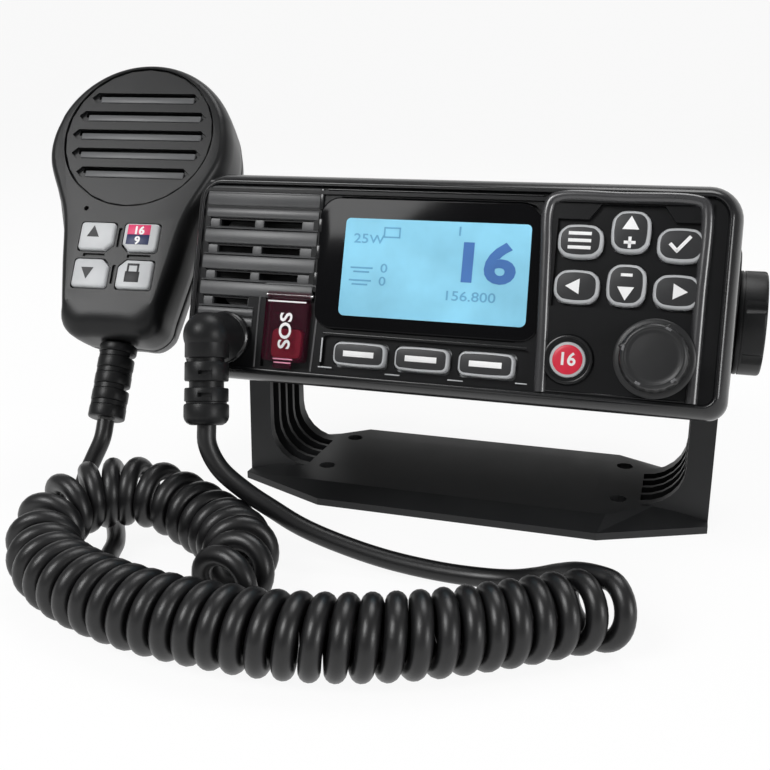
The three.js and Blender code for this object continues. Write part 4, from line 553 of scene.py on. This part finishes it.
field_left, field_right, over_socket = -77.6, -39.9, -58.9
for count, (low, high, right) in enumerate((
    (20.4, 26.9, field_right), (16.75, 19.9, field_right), (8.6, 13.2, field_right), (0.4, 5, field_right),
    (-7.8, -3.2, field_right), (-14, -11.4, over_socket), (-17.2, -14.3, over_socket),
)):
    rail("slat_%d" % (count + 1), field_left, right, slat_section(low, high), slat_grey)
all_tabs = ((field_left, -73.3), (-61.1, -58.2), (-45.3, -40))
for row, (level, right, tabs) in enumerate((
    (15.1, field_right, all_tabs), (6.9, field_right, all_tabs), (-1.3, field_right, all_tabs),
    (-9.5, over_socket, all_tabs[:2]),
)):
    rail("ledge_%d" % (row + 1), field_left, right, [
        (58.3, level - 1.75), (59.5, level - 1.75), (59.55, level - 1.6), (58.75, level - 1),
        (58.3, level - 1),
    ], slat_grey)
    for tab, (near, far) in enumerate(tabs):
        rail("tab_%d_%d" % (row + 1, tab + 1), near, min(far, right), [
            (57.6, level - 1.2), (58.95, level - 1.2), (59.1, level), (58.95, level + 1.2),
            (57.6, level + 1.2),
        ], slat_grey)
for count, (x, z, height) in enumerate((
    (-39.3, 23.4, 6.4), (-39.1, 15.4, 4), (-39.1, 7.2, 4), (-39.1, -1, 4),
)):
    bar(
        "slat_end_%d" % (count + 1), (x, z), (1.3, height), 59.62, rim_black, "radio",
        0.3, 0.5,
    )
beading("louvre_line_1", [(-77.4, -59.7, 24.4), (-60, -59.7, 24.4), (-40.2, -59.7, 24.4)], 0.35, slat_grey)
beading("louvre_line_2", [(-77.4, -59.3, 28), (-60, -59.3, 28), (-40.2, -59.3, 28)], 0.9, slat_grey)

# Display: a black glass window set in a pocket, with the lit module behind it
# showing through its clear middle.
glass_black = moulded("glass_black", (0.0025, 0.0025, 0.003), 0.08, 2000, 0.000001, 0.12)


def plate(name, outline, profile):
    """A plate of one outline, built up through pairs of station and inset."""
    return lofted(name, [[(x, -station, z) for x, z in outline(inset)] for station, inset in profile])


def window_outline(inset):
    points = rounded(68 - 2 * inset, 40 - 2 * inset, 6.5 - inset, 5.5 - inset, (-5, 4.2))
    return [(x + (0.045 * (4.2 - z) if x > 0 else 0.03 * (4.2 - z)), z) for x, z in points]


def screen_outline(inset):
    points = rounded(56.6 - 2 * inset, 29.6 - 2 * inset, 1.4, 1.8, (-2.5, 3.2), steps=5)
    return [(x + 0.02 * (3.2 - z) * (x > 0), z) for x, z in points]


settle(
    plate("window_glass", window_outline, (
        (57.6, 0.3), (59.2, 0), (59.6, 0.05), (59.75, 0.25), (59.8, 0.6),
    )),
    lean, glass_black, "radio", "display_window",
)
screen_blue = moulded("screen_blue", (0.22, 0.53, 0.70), 0.5, 600, 0.000001, 0.2)
glow = screen_blue.node_tree
glow_shader = glow.nodes["Principled BSDF"]
glow_shader.inputs["Emission Strength"].default_value = 0.12
glow.links.new(
    glow_shader.inputs["Base Color"].links[0].from_socket, glow_shader.inputs["Emission Color"],
)
settle(
    plate("lit_screen", screen_outline, ((58.6, 0), (59.78, 0), (59.84, 0.08))),
    lean, screen_blue, "radio", "lcd_module",
)
screen_face = 59.86
ink_blue = moulded("ink_blue", (0.06, 0.17, 0.45), 0.5, 600, 0.000001, 0.2)
ink_dim = moulded("ink_dim", (0.13, 0.36, 0.56), 0.5, 600, 0.000001, 0.2)


def lettering(
    name, words, size, place, material, body, stand=lean, bold=0.0, wide=1.0, turn=0, tall=0.06,
):
    """Printed figures on a face, thin but solid."""
    bpy.ops.object.select_all(action="DESELECT")
    bpy.ops.object.text_add()
    print_form = bpy.context.object
    print_form.name = name
    print_form.data.body = words
    print_form.data.size = size
    print_form.data.align_x = "CENTER"
    print_form.data.align_y = "CENTER"
    print_form.data.extrude = tall
    print_form.data.offset = bold
    print_form.data.resolution_u = 4
    bpy.ops.object.convert(target="MESH")
    print_form = bpy.context.object
    x, station, z = place
    print_form.data.transform(
        Matrix.Translation((x, -station, z)) @ Matrix.Rotation(math.radians(turn), 4, "Y")
        @ Matrix.Rotation(math.radians(90), 4, "X") @ Matrix.Diagonal((wide, 1, 1, 1))
    )
    return settle(print_form, stand, material, body)


for name, words, size, (x, z), bold, material in (
    ("screen_channel", "16", 15.6, (12.4, 5.6), 0.55, ink_blue),
    ("screen_power", "25", 4, (-25.5, 11.8), 0.03, ink_dim),
    ("screen_unit", "W", 3.6, (-20.6, 11.7), 0.03, ink_dim),
    ("screen_frequency", "156.800", 4, (9, -3.9), 0.03, ink_dim),
    ("screen_level_1", "0", 3.8, (-17.6, 3.1), 0.03, ink_dim),
    ("screen_level_2", "0", 3.8, (-17.8, -0.8), 0.03, ink_dim),
    ("screen_count", "1", 3.8, (4.6, 15.1), 0.03, ink_dim),
):
    lettering(
        name, words, size, (x, screen_face, z), material, "radio", bold=bold, wide=1.22,
    )
for count, (x, z, width, height) in enumerate((
    (-24.6, 3.1, 7, 0.5), (-24.6, 1.9, 5, 0.5), (-24.8, -0.7, 7, 0.5), (-24.8, -1.9, 5, 0.5),
    (-16, 15.4, 5, 0.45), (-16, 12.6, 5, 0.45), (-13.6, 14, 0.45, 3.2), (-18.4, 14, 0.45, 3.2),
)):
    bar(
        "screen_mark_%d" % (count + 1), (x, z), (width, height), screen_face, ink_dim, "radio",
        0.03,
    )

# Keypad: silicone keys in a light grey with dark printed tops. Each stands
# through its own hole in a gloss field and presses on a dome on the board.
key_grey = moulded("key_grey", (0.42, 0.43, 0.44), 0.42, 1800, 0.00004, 0.4)
key_dark = moulded("key_dark", (0.022, 0.0225, 0.024), 0.38, 1800, 0.00002, 0.4)
print_white = moulded("print_white", (0.80, 0.80, 0.80), 0.5, 1500, 0.000002, 0.3)
key_face = 60.3


def silicone_key(name, centre, size, corner, bulge, shoulder, rim, print_edge, steps=7):
    """A key's grey body, with a flange behind the panel, and its dark printed top."""
    def outline(inset, lift=0):
        return rounded(
            size[0] - 2 * inset, size[1] - 2 * inset, corner - inset, corner - inset,
            (centre[0] - lift * 0.4, centre[1] + lift), bulge, steps,
        )

    settle(
        plate(name + "_body", outline, (
            (55.35, -0.7), (56.2, -0.7), (56.3, 0), (59.2, 0.05), (59.75, 0.2), (60.05, shoulder),
            (60.15, rim),
        )),
        lean, key_grey, name + "_cap", name,
    )
    settle(
        plate(name + "_top", lambda inset: outline(inset, 0.12), (
            (60.0, print_edge), (60.18, print_edge + 0.02), (60.26, print_edge + 0.1),
            (key_face, print_edge + 0.3),
        )),
        lean, key_dark, name + "_cap",
    )


for name, centre, size in (
    ("menu_key", (39.4, 13.8), (11.6, 8.6)), ("channel_up_key", (53, 17), (9.7, 10.8)),
    ("enter_key", (66.6, 13.8), (11.6, 8.6)), ("left_key", (39.4, 0.9), (11.6, 8.6)),
    ("channel_down_key", (53, 2), (9.7, 10.8)), ("right_key", (66.6, 0.9), (11.6, 8.6)),
):
    silicone_key(name, centre, size, 2.6, 0.6, 0.45, 0.8, 0.95)


def arrow(name, place, size, turn, body, material, station=key_face, stand=lean):
    """A printed triangle that points up, turned by the given angle."""
    bpy.ops.object.select_all(action="DESELECT")
    bpy.ops.mesh.primitive_cylinder_add(vertices=3, radius=1, depth=1, location=(0, 0, 0))
    form = bpy.context.object
    form.name = name
    form.data.transform(
        Matrix.Translation((place[0], -station, place[1])) @ Matrix.Rotation(math.radians(turn), 4, "Y")
        @ Matrix.Diagonal((size[0] / 1.732, 0.1, size[1] / 1.5, 1))
        @ Matrix.Rotation(math.radians(90), 4, "X")
    )
    return settle(form, stand, material, body)


for name, place, size, turn in (
    ("channel_up_key", (52.9, 18.9), (4.6, 3.8), 0), ("channel_down_key", (52.9, 0.3), (4.6, 3.8), 180),
    ("left_key", (38.9, 1), (4.4, 3.9), -90), ("right_key", (66.9, 1), (4.4, 3.9), 90),
):
    arrow(name + "_arrow", place, size, turn, name + "_cap", print_white)
for name, count, place, size, turn in (
    ("menu_key", 1, (39.2, 16), (6.4, 0.95), 0), ("menu_key", 2, (39.2, 14), (6.4, 0.95), 0),
    ("menu_key", 3, (39.2, 12), (6.4, 0.95), 0), ("channel_up_key", 1, (52.9, 14), (3.2, 0.85), 0),
    ("channel_up_key", 2, (52.9, 14), (0.85, 3.2), 0), ("channel_down_key", 1, (52.9, 4.9), (3.2, 0.85), 0),
    ("enter_key", 1, (64.75, 13.1), (0.95, 3.1), -45), ("enter_key", 2, (67.2, 14.1), (0.95, 5.8), 40),
):
    bar(
        "%s_mark_%d" % (name, count), place, size, key_face, print_white, name + "_cap",
        turn=turn,
    )

# Soft keys: three wide keys of the same silicone below the display, each in a
# gloss field and printed with a bar.
for count, x in enumerate((-22.9, -3.6, 15.7)):
    name = "soft_key_%d" % (count + 1)
    silicone_key(name, (x, -23.1), (16.2, 7), 1.9, 0.25, 0.4, 0.7, 0.8)
    bar(
        name + "_bar", (x - 0.1, -23), (9.6, 1.7), key_face, print_white, name + "_cap",
        round_by=0.4,
    )
for count, (x, z, width, height) in enumerate((
    (-33.6, -27.6, 4.4, 0.4), (-35.2, -22.4, 0.45, 7.4), (-12.2, -28.2, 4.6, 0.35), (7, -28.3, 4.6, 0.35),
    (26.2, -27.6, 3.4, 0.35),
)):
    bar(
        "corner_line_%d" % (count + 1), (x, z), (width, height), 59.25, key_grey, "radio",
        0.05,
    )

# Channel key: a red key in a light ring, standing in a raised round collar.
red = moulded("red_key", (0.62, 0.016, 0.045), 0.35, 1500, 0.00002, 0.4)
channel_centre = (38.8, -19.8)


def circle(radius, centre=(0, 0), steps=96):
    """Points round a circle."""
    turns = [2 * math.pi * step / steps for step in range(steps)]
    return [(centre[0] + radius * math.cos(turn), centre[1] + radius * math.sin(turn)) for turn in turns]


def turned_form(name, centre, rows, steps):
    """A turned form on the panel, through pairs of station and radius."""
    return lofted(name, [
        [(x, -station, z) for x, z in circle(radius, centre, steps)] for station, radius in rows
    ])


settle(
    turned_form("channel_collar", channel_centre, (
        (59.15, 7.4), (59.9, 7.05), (60.2, 6.85), (60.3, 6.5), (60.2, 6.1), (59.6, 5.7), (57.9, 5.6),
    ), 96),
    lean, rim_black, "radio",
)
settle(
    turned_form("channel_key_ring", channel_centre, (
        (55.35, 5.9), (56.2, 5.9), (56.3, 5.1), (60.2, 5.05), (60.5, 4.9), (60.6, 4.6),
    ), 72),
    lean, key_grey, "channel_button", "channel_key",
)
settle(
    turned_form("channel_key_disc", channel_centre, (
        (60.4, 4.25), (60.66, 4.2), (60.76, 4.0), (60.84, 3.2), (60.86, 1.5),
    ), 72),
    lean, red, "channel_button",
)
lettering(
    "channel_key_number", "16", 5, (38.7, 60.88, -19.8), print_white, "channel_button",
    bold=0.12, tall=0.04,
)

# Control knob: a soft-touch cap with three finger nubs, pushed on a flatted
# shaft, over a turned skirt.
knob_soft = moulded("knob_soft", (0.0075, 0.0078, 0.0085), 0.4, 1500, 0.00003, 0.5)
knob_centre, knob_steps, mark_radius = (62.2, -17.8), 240, 8.15
rings = []
for station, radius, nub in (
    (60.1, 3.2, 0), (60.1, 10.8, 0), (60.3, 11, 0), (61.5, 11, 0), (61.7, 10.8, 0), (61.9, 10.2, 0),
    (62, 9.5, 0), (63, 9.35, 0.1), (66, 9.2, 0.3), (69, 9.05, 0.55), (70.2, 8.8, 0.75),
    (70.75, 8.45, 0.85), (71, 8, 0.7), (71.05, 7.6, 0.2), (70.9, 7.3, 0), (70.75, 7, 0),
    (70.8, 6, 0), (70.95, 4, 0), (71, 2, 0),
):
    ring = []
    for step in range(knob_steps):
        angle = 2 * math.pi * step / knob_steps
        swell = 0
        for nub_place in (68, 165, 315):
            off = math.degrees(angle) - nub_place
            off = (off + 180) % 360 - 180
            swell += ramp(1 - abs(off) / 7)
        flute = 0.12 * math.cos(24 * angle) * (0.4 < nub + 0.35 < 1)
        reach = radius + nub * swell - (0.1 + flute if 62 < station < 70 else 0)
        ring.append((
            knob_centre[0] + reach * math.cos(angle), -station, knob_centre[1] + reach * math.sin(angle),
        ))
    rings.append(ring)
settle(
    lofted("control_knob_cap", rings), lean, knob_soft, "knob", "control_knob", sharp=40,
)
# Four paler marks round the cap's front edge, three of them on the nubs: painted highlights.
nub_painted_highlight = moulded("nub_painted_highlight", (0.12, 0.12, 0.125), 0.35, 1500, 0.00002)
for count, mark in enumerate((66, 168, 313, 245)):
    angle = math.radians(mark)
    place = (
        knob_centre[0] + mark_radius * math.cos(angle), knob_centre[1] + mark_radius * math.sin(angle),
    )
    bar(
        "knob_mark_%d" % (count + 1), place, (1.5, 0.7), 71.0, nub_painted_highlight, "knob",
        0.25, 0.3, turn=90 - mark,
    )

# Distress key and cover: a red key under a see-through sprung flap, which is
# lifted by its lower lip before the key can be pressed.
eased("distress_key", 0.0003, red)
cover_red = moulded("cover_red", (0.05, 0.001, 0.012), 0.07, 1200, 0.000002, 0.5)
cover_red.node_tree.nodes["Principled BSDF"].inputs["Alpha"].default_value = 0.34
eased("distress_cover", 0.0004, cover_red)
print_pink = moulded("print_pink", (0.75, 0.30, 0.42), 0.5, 1500, 0.000002, 0.3)
for name, place, size, material in (
    ("top_line", (-46.9, -8.7), (12.6, 0.45), print_white),
    ("low_line_1", (-46.7, -26.3), (6.4, 0.4), print_pink),
    ("low_line_2", (-46.7, -27.4), (5.6, 0.4), print_pink),
):
    bar("cover_" + name, place, size, 61.42, material, "cover", 0.05, 0.08)
lettering(
    "cover_word", "SOS", 5.4, (-46.5, 61.44, -17.6), print_white, "cover",
    bold=0.12, wide=1.2, turn=-90, tall=0.04,
)
# Thin lines round the distress key's recess, in the same paler grey: painted highlights on its edges.
for count, corners in enumerate((
    ((-56.9, -29.4), (-56.9, -8), (-56.6, -4.6), (-55.2, -3.5), (-52, -3.3), (-39, -3.3)),
    ((-38.2, -29.4), (-37.6, -8), (-37.8, -4.2), (-39, -3.3)),
)):
    beading("distress_frame_%d" % (count + 1), [(x, -59.3, z) for x, z in corners], 0.6, slat_grey)

# Handset socket and plug: a screwed ring on the panel, and the cord's moulded
# right-angle boot, with a domed elbow and grooves that let its arm bend.
eased("mic_socket", 0.0003, rim_black)
boot_black = moulded("boot_black", (0.008, 0.0082, 0.0087), 0.36, 1400, 0.00006, 0.24)
boot_stand = lean @ Matrix.Translation((-67.9, -70.8, -21.3))
dome_radius = 7.1
rows = [
    (-dome_radius * math.cos(math.radians(latitude)), dome_radius * math.sin(math.radians(latitude)))
    for latitude in range(4, 91, 6)
] + [(7, 7.3), (8.7, 7.9)]
rings = [[(x, behind, z) for x, z in circle(radius)] for behind, radius in rows]
settle(lofted("boot_elbow", rings), boot_stand, boot_black, "radio", sharp=50)
arm = lofted("boot_arm", [[(x, y, -drop) for x, y in circle(radius)] for drop, radius in (
    (1, 6.6), (6.6, 6.6), (6.95, 6.4), (7.1, 5.3), (8.1, 5.3), (8.25, 6.4), (8.6, 6.6), (13.6, 6.6),
    (13.95, 6.4), (14.1, 5.2), (15.9, 5.2), (16.05, 6.4), (16.4, 6.6), (20, 6.6), (20.2, 6.1),
    (20.7, 6.1), (20.9, 6.6), (21.4, 6.8), (24.6, 6.8), (25.6, 6.55), (26.5, 5.9), (27.1, 4.9),
    (27.2, 4.2), (27.1, 3.1),
)])


def carve(piece, cutter):
    """Cuts one form out of another, and takes the cutter away."""
    bpy.ops.object.select_all(action="DESELECT")
    piece.select_set(True)
    bpy.context.view_layer.objects.active = piece
    bite = piece.modifiers.new("bite", "BOOLEAN")
    bite.operation = "DIFFERENCE"
    bite.solver = "EXACT"
    bite.object = cutter
    bpy.ops.object.modifier_apply(modifier=bite.name)
    bpy.data.objects.remove(cutter)
    return piece


for row in (11, 17.6):
    bpy.ops.mesh.primitive_cube_add(size=1, location=(4.4, -6.6, -row - 0.6), scale=(8, 3, 1.2))
    bpy.ops.object.transform_apply(location=True, rotation=True, scale=True)
    carve(arm, bpy.context.object)
settle(
    arm, boot_stand @ Matrix.Rotation(math.radians(-5.5), 4, "Y"), boot_black, "radio",
    "plug_boot", sharp=40,
)

# Handset: two moulded half shells, screwed together round the board and the
# speaker. The front one holds the grille, four keys, and the talk lever's pocket.
hand = (
    Matrix.Translation((-0.1235, -0.0131, 0.1236)) @ Matrix.Rotation(math.radians(8.7), 4, "Z")
    @ Matrix.Rotation(math.radians(-32.7), 4, "X") @ Matrix.Rotation(math.radians(0.8), 4, "Y") @ mm
)
handset_black = moulded("handset_black", (0.0105, 0.0107, 0.0112), 0.36, 1800, 0.00006, 0.28)


def hull(inset, chin=0, head_radius=34, head_drop=2.9):
    """Points round the handset's outline: a round head, a waist and a blunt foot."""
    def round_head(angle):
        angle, reach = math.radians(angle), head_radius - inset
        return Vector((reach * math.cos(angle), 0, reach * math.sin(angle) - head_drop))

    side = [round_head(160), round_head(175), round_head(190.6)] + [
        Vector((inset - half, 0, -drop)) for half, drop in (
            (24.7, 30), (21.1, 50), (18.6, 64), (17.6, 70.8 - inset - chin), (13.2, 74.6 - inset - chin),
        )
    ]
    side.append(Vector((inset - 6, 0, side[-1].z)))
    _, length = smooth_run(side, 1)
    left, _ = smooth_run(side, length / 60)
    head = [round_head(20 + 140 * step / 70) for step in range(1, 70)]
    points = head + left + [Vector((-point.x, 0, point.z)) for point in reversed(left)]
    return [(point.x, point.z) for point in points]


def shell(name, rows):
    return lofted(name, [
        [(x, station, z) for x, z in hull(inset, chin)] for station, inset, chin in rows
    ])


def prism(corners, near, far):
    """A cutter of one outline between two stations."""
    return lofted("prism", [[(x, station, z) for x, z in corners] for station in (near, far)])


def disc(radius, near, far, place=(0, 0), steps=96):
    return prism(circle(radius, place, steps), near, far)


def filleted(corners, radius, steps=5):
    """Points round a polygon with its corners rounded off."""
    points = []
    for place, corner in enumerate(corners):
        here = Vector(corner)
        back = Vector(corners[place - 1]) - here
        ahead = Vector(corners[(place + 1) % len(corners)]) - here
        reach = min(radius / math.tan(back.angle(ahead) / 2), 0.48 * back.length, 0.48 * ahead.length)
        start, end = here + back.normalized() * reach, here + ahead.normalized() * reach
        for step in range(steps + 1):
            share = step / steps
            points.append(tuple(
                (1 - share) ** 2 * start + 2 * share * (1 - share) * here + share ** 2 * end
            ))
    return points


hand_keys = (
    ("handset_up_key", -8, 39.8, -1, 1), ("handset_channel_key", 8, 39.8, 1, 1),
    ("handset_down_key", -8, 53.6, -1, -1), ("handset_lock_key", 8, 53.6, 1, -1),
)


def hand_key_outline(x, drop, side, level, grow):
    half_width, half_height = 6.3 + grow, 5.25 + grow
    corners = [
        (2.6 - half_width, -half_height), (half_width, -half_height), (half_width, half_height),
        (-half_width, half_height), (-half_width, 2.6 - half_height),
    ]
    return filleted([(x + side * along, level * up - drop) for along, up in corners], 1.5)


def lever_outline(grow, travel):
    flanks = ((9.4 - grow, 33.4), (22.7, 27.8), (36 + grow, 23.6))
    outer = [(-flank - 1.3, -drop) for drop, flank in flanks]
    inner = [
        (3.4 + grow + travel * (drop - 9.4 + grow) / 26.6 - 1.3 - flank, -drop)
        for drop, flank in reversed(flanks)
    ]
    return outer + inner


edge_rows = [
    (7 * (1 - math.cos(math.radians(turn))), 3.6 * (1 - math.sin(math.radians(turn))))
    for turn in (0, 10, 20, 30, 42, 54, 66, 78, 90)
]
front = shell("handset_front", [(station, inset, 1.25 * inset) for station, inset in edge_rows] + [
    (11, 0.08, 0), (15.5, 0.35, 0), (19.6, 0.72, 0), (20, 0.95, 0),
])
carve(front, shell("hollow", [(2.4, 6, 4.5), (9.4, 2.4, 0), (20.4, 3.2, 0)]))
carve(front, disc(27.8, -1, 2.2))
carve(front, disc(24.4, -1, 9))
carve(front, disc(0.9, -1, 9, (-14.2, -29), 24))
for name, x, drop, side, level in hand_keys:
    carve(front, prism(hand_key_outline(x, drop, side, level, 0.45), -1, 6))
for x, drop, width, height in (
    (0, 39.8, 1.3, 7.2), (0, 53.6, 1.3, 7), (-8.2, 46.7, 8, 1.3), (8.2, 46.7, 8.6, 1.3),
):
    corners = [
        (x + side * width / 2, level * height / 2 - drop)
        for side, level in ((-1, -1), (1, -1), (1, 1), (-1, 1))
    ]
    carve(front, prism(filleted(corners, 0.4, 3), -1, 0.9))
carve(front, prism(lever_outline(0.5, 1.5), 7.9, 17.9))
relief_hole = disc(4.5, -8, 8)
relief_hole.data.transform(
    Matrix.Translation((0.5, 14, -74)) @ Matrix.Rotation(math.radians(90), 4, "X")
)
carve(front, relief_hole)
settle(front, hand, handset_black, "handset", "handset_front_shell", sharp=40)
back = shell("handset_back", [
    (20.3, 1, 0), (20.7, 0.8, 0), (24, 1.35, 0), (28, 2.3, 0), (30.5, 3.1, 0), (32.5, 4.3, 0),
    (34.2, 6, 0), (35.2, 7.6, 0), (35.6, 9, 0),
])
carve(back, shell("hollow", [(20, 3.2, 0), (30.5, 5.6, 0), (33.2, 11.4, 0)]))
carve(back, disc(2.3, 30, 40, (0, -14), 32))
settle(back, hand, handset_black, "handset", "handset_back_shell", sharp=40)
eased("talk_lever", 0.0004, cord_rubber)
eased("hang_button", 0.0003, steel)

# Handset grille: a round moulded disc let into the front shell, with a bar behind each slot that keeps
# spray off the speaker.
# The bars are the shell's black plastic in a paler grey: painted light in the slots.
eased("handset_grille", 0.0003, handset_black)
grille_bar_painted_light = moulded("grille_bar_painted_light", (0.09, 0.092, 0.095), 0.42, 1500, 0.00004, 0.4)
for row, half in enumerate((20.4, 24, 25.2, 24.2, 21)):
    bar(
        "grille_bar_%d" % (row + 1), (0.9, 14.75 - row * 7.5), (2 * half - 5.4, 2.5), -0.85,
        grille_bar_painted_light, "handset", 0.4, 1.2, hand,
    )

# Handset keys: four light silicone keys with one clipped corner each, set
# round a cross of short grooves and printed with plain signs.
print_dark = moulded("print_dark", (0.022, 0.022, 0.024), 0.45, 1500, 0.000002, 0.3)
patch_red = moulded("patch_red", (0.62, 0.03, 0.12), 0.4, 1500, 0.000002, 0.4)
patch_navy = moulded("patch_navy", (0.008, 0.016, 0.075), 0.4, 1500, 0.000002, 0.4)
hand_grey = moulded("hand_grey", (0.46, 0.47, 0.48), 0.42, 1800, 0.00004, 0.4)
for name, x, drop, side, level in hand_keys:
    rows = [[
        (along, station, up) for along, up in hand_key_outline(x, drop, side, level, grow)
    ] for station, grow in (
        (3.6, 0.9), (2.8, 0.9), (2.75, 0), (-0.2, -0.02), (-0.6, -0.15), (-0.88, -0.4), (-1, -0.8),
    )]
    settle(lofted(name + "_body", rows), hand, hand_grey, name + "_cap", name)
hand_key_face = 1.0
for name, place, turn in (
    ("handset_up_key", (-9.3, -38.8), 0), ("handset_down_key", (-9.1, -53.1), 180),
):
    arrow(
        name + "_arrow", place, (4.5, 4.3), turn, name + "_cap", print_dark,
        station=hand_key_face, stand=hand,
    )
for name, place, size, material in (
    ("patch_upper", (7.2, -37.05), (8.2, 3.7), patch_red),
    ("patch_lower", (7.2, -40.75), (8.2, 3.7), patch_navy),
):
    bar(
        "handset_channel_" + name, place, size, hand_key_face, material, "handset_channel_key_cap",
        0.04, 0.1, hand,
    )
for name, words, place in (("upper", "16", (7.2, 1.04, -37.45)), ("lower", "9", (7.1, 1.04, -41.2))):
    lettering(
        "handset_channel_number_" + name, words, 4, place, print_white, "handset_channel_key_cap",
        hand, 0.16, tall=0.03,
    )
for name, place, size in (
    ("body", (7.4, -54.6), (5.2, 3.9)), ("left", (5.6, -51.6), (0.75, 3)),
    ("right", (9.2, -51.6), (0.75, 3)), ("top", (7.4, -50.1), (4.3, 0.8)),
):
    bar(
        "handset_lock_" + name, place, size, hand_key_face, print_dark, "handset_lock_key_cap",
        0.04, 0.1, hand,
    )

# Strain relief: a rubber sleeve on the lead's last stretch, made of rings that
# are joined to each other at alternate sides, so that it bends evenly.
relief_stand = hand @ Matrix.Translation((0.5, 14, 0))
ring_pitch = 5.8
rows = [
    (69.6, 3), (69.6, 4.15), (74.8, 4.15), (74.95, 5.9), (75.2, 6.3), (75.6, 6.45), (77.6, 6.4),
    (78, 6.2), (78.2, 5.6),
]
for ring in range(4):
    start = 78.3 + ring_pitch * ring
    rows += [
        (start + 0.05, 4), (start + 1.35, 4), (start + 1.4, 5.7), (start + 1.65, 6.1), (start + 2.1, 6.2),
        (start + 5.1, 6.2), (start + 5.5, 6.05), (start + 5.75, 5.6),
    ]
rows += [(101.5, 3.9), (101.4, 3.1)]
sleeve = lofted("relief_sleeve", [
    [(x, y, -drop) for x, y in circle(radius, steps=72)] for drop, radius in rows
])
settle(sleeve, relief_stand, boot_black, "handset", "strain_relief", sharp=40)
for ring in range(4):
    level = -79 - ring_pitch * ring
    bpy.ops.object.select_all(action="DESELECT")
    bpy.ops.mesh.primitive_cylinder_add(vertices=48, radius=6.05, depth=1.5, location=(0, 0, level))
    link = bpy.context.object
    link.name = "relief_link_%d" % (ring + 1)
    bpy.ops.object.transform_apply(location=True)
    bpy.ops.mesh.primitive_cube_add(
        size=1, location=((3.2, -3.2)[ring % 2], 4.2, level), scale=(13, 13, 4),
    )
    bpy.ops.object.transform_apply(location=True, scale=True)
    carve(link, bpy.context.object)
    settle(link, relief_stand, boot_black, "handset", sharp=40)

# Studio: a plain pale sweep that keeps the object's shadow, with a dim even
# surround and soft lamps at the front left, above and at the right.
bpy.ops.object.select_all(action="DESELECT")
bpy.ops.mesh.primitive_plane_add(size=12, location=(0, -3, -0.0002))
floor = bpy.context.object
floor.name = "studio_sweep"
bpy.ops.object.transform_apply(location=True)
bpy.ops.object.mode_set(mode="EDIT")
form = bmesh.from_edit_mesh(floor.data)
rear_edge = 2.9
for edge in form.edges:
    edge.select = all(spot.co.y > rear_edge for spot in edge.verts)
for spot in form.verts:
    spot.select = spot.co.y > rear_edge
form.select_flush_mode()
bmesh.update_edit_mesh(floor.data)
for step in ((0, 0.6, 0.15), (0, 0.4, 0.45), (0, 0, 2.4)):
    bpy.ops.mesh.extrude_region_move(TRANSFORM_OT_translate={"value": step})
bpy.ops.object.mode_set(mode="OBJECT")
bpy.ops.object.shade_smooth()
paper = bpy.data.materials.new("studio_paper")
paper.use_nodes = True
tree = paper.node_tree
sheet = tree.nodes["Principled BSDF"]
sheet.inputs["Base Color"].default_value = (0.9, 0.9, 0.9, 1)
sheet.inputs["Roughness"].default_value = 0.9
sheet.inputs["Specular IOR Level"].default_value = 0.1
white = tree.nodes.new("ShaderNodeEmission")
white.inputs["Strength"].default_value = 1
seen = tree.nodes.new("ShaderNodeLightPath")
either = tree.nodes.new("ShaderNodeMath")
either.operation = "MAXIMUM"
any_view = tree.nodes.new("ShaderNodeMath")
any_view.operation = "MAXIMUM"
share = tree.nodes.new("ShaderNodeMath")
share.operation = "MULTIPLY"
share.inputs[1].default_value = 0.92
mixed = tree.nodes.new("ShaderNodeMixShader")
for start, end in (
    (seen.outputs["Is Camera Ray"], either.inputs[0]), (seen.outputs["Is Glossy Ray"], either.inputs[1]),
    (either.outputs[0], any_view.inputs[0]), (seen.outputs["Is Transmission Ray"], any_view.inputs[1]),
    (any_view.outputs[0], share.inputs[0]), (share.outputs[0], mixed.inputs["Fac"]),
    (sheet.outputs[0], mixed.inputs[1]), (white.outputs[0], mixed.inputs[2]),
    (mixed.outputs[0], tree.nodes["Material Output"].inputs["Surface"]),
):
    tree.links.new(start, end)
floor.data.materials.append(paper)

surround = bpy.data.worlds.new("surround")
bpy.context.scene.world = surround
surround.use_nodes = True
even_light = surround.node_tree.nodes["Background"]
even_light.inputs["Color"].default_value = (1, 1, 1, 1)
even_light.inputs["Strength"].default_value = 0.3
for name, place, aim, size, power in (
    ("key_lamp", (-0.62, -1.0, 1.08), (-0.02, -0.04, 0.05), 0.6, 13),
    ("top_lamp", (0.15, 0.35, 1.3), (0, -0.04, 0.03), 0.7, 7),
    ("side_lamp", (1.3, -0.6, 0.4), (0.05, -0.03, 0.06), 0.5, 7),
):
    bpy.ops.object.light_add(type="AREA", location=place)
    lamp = bpy.context.object
    lamp.name = name
    lamp.data.size = size
    lamp.data.energy = power
    lamp.rotation_euler = (Vector(aim) - Vector(place)).to_track_quat("-Z", "Y").to_euler()
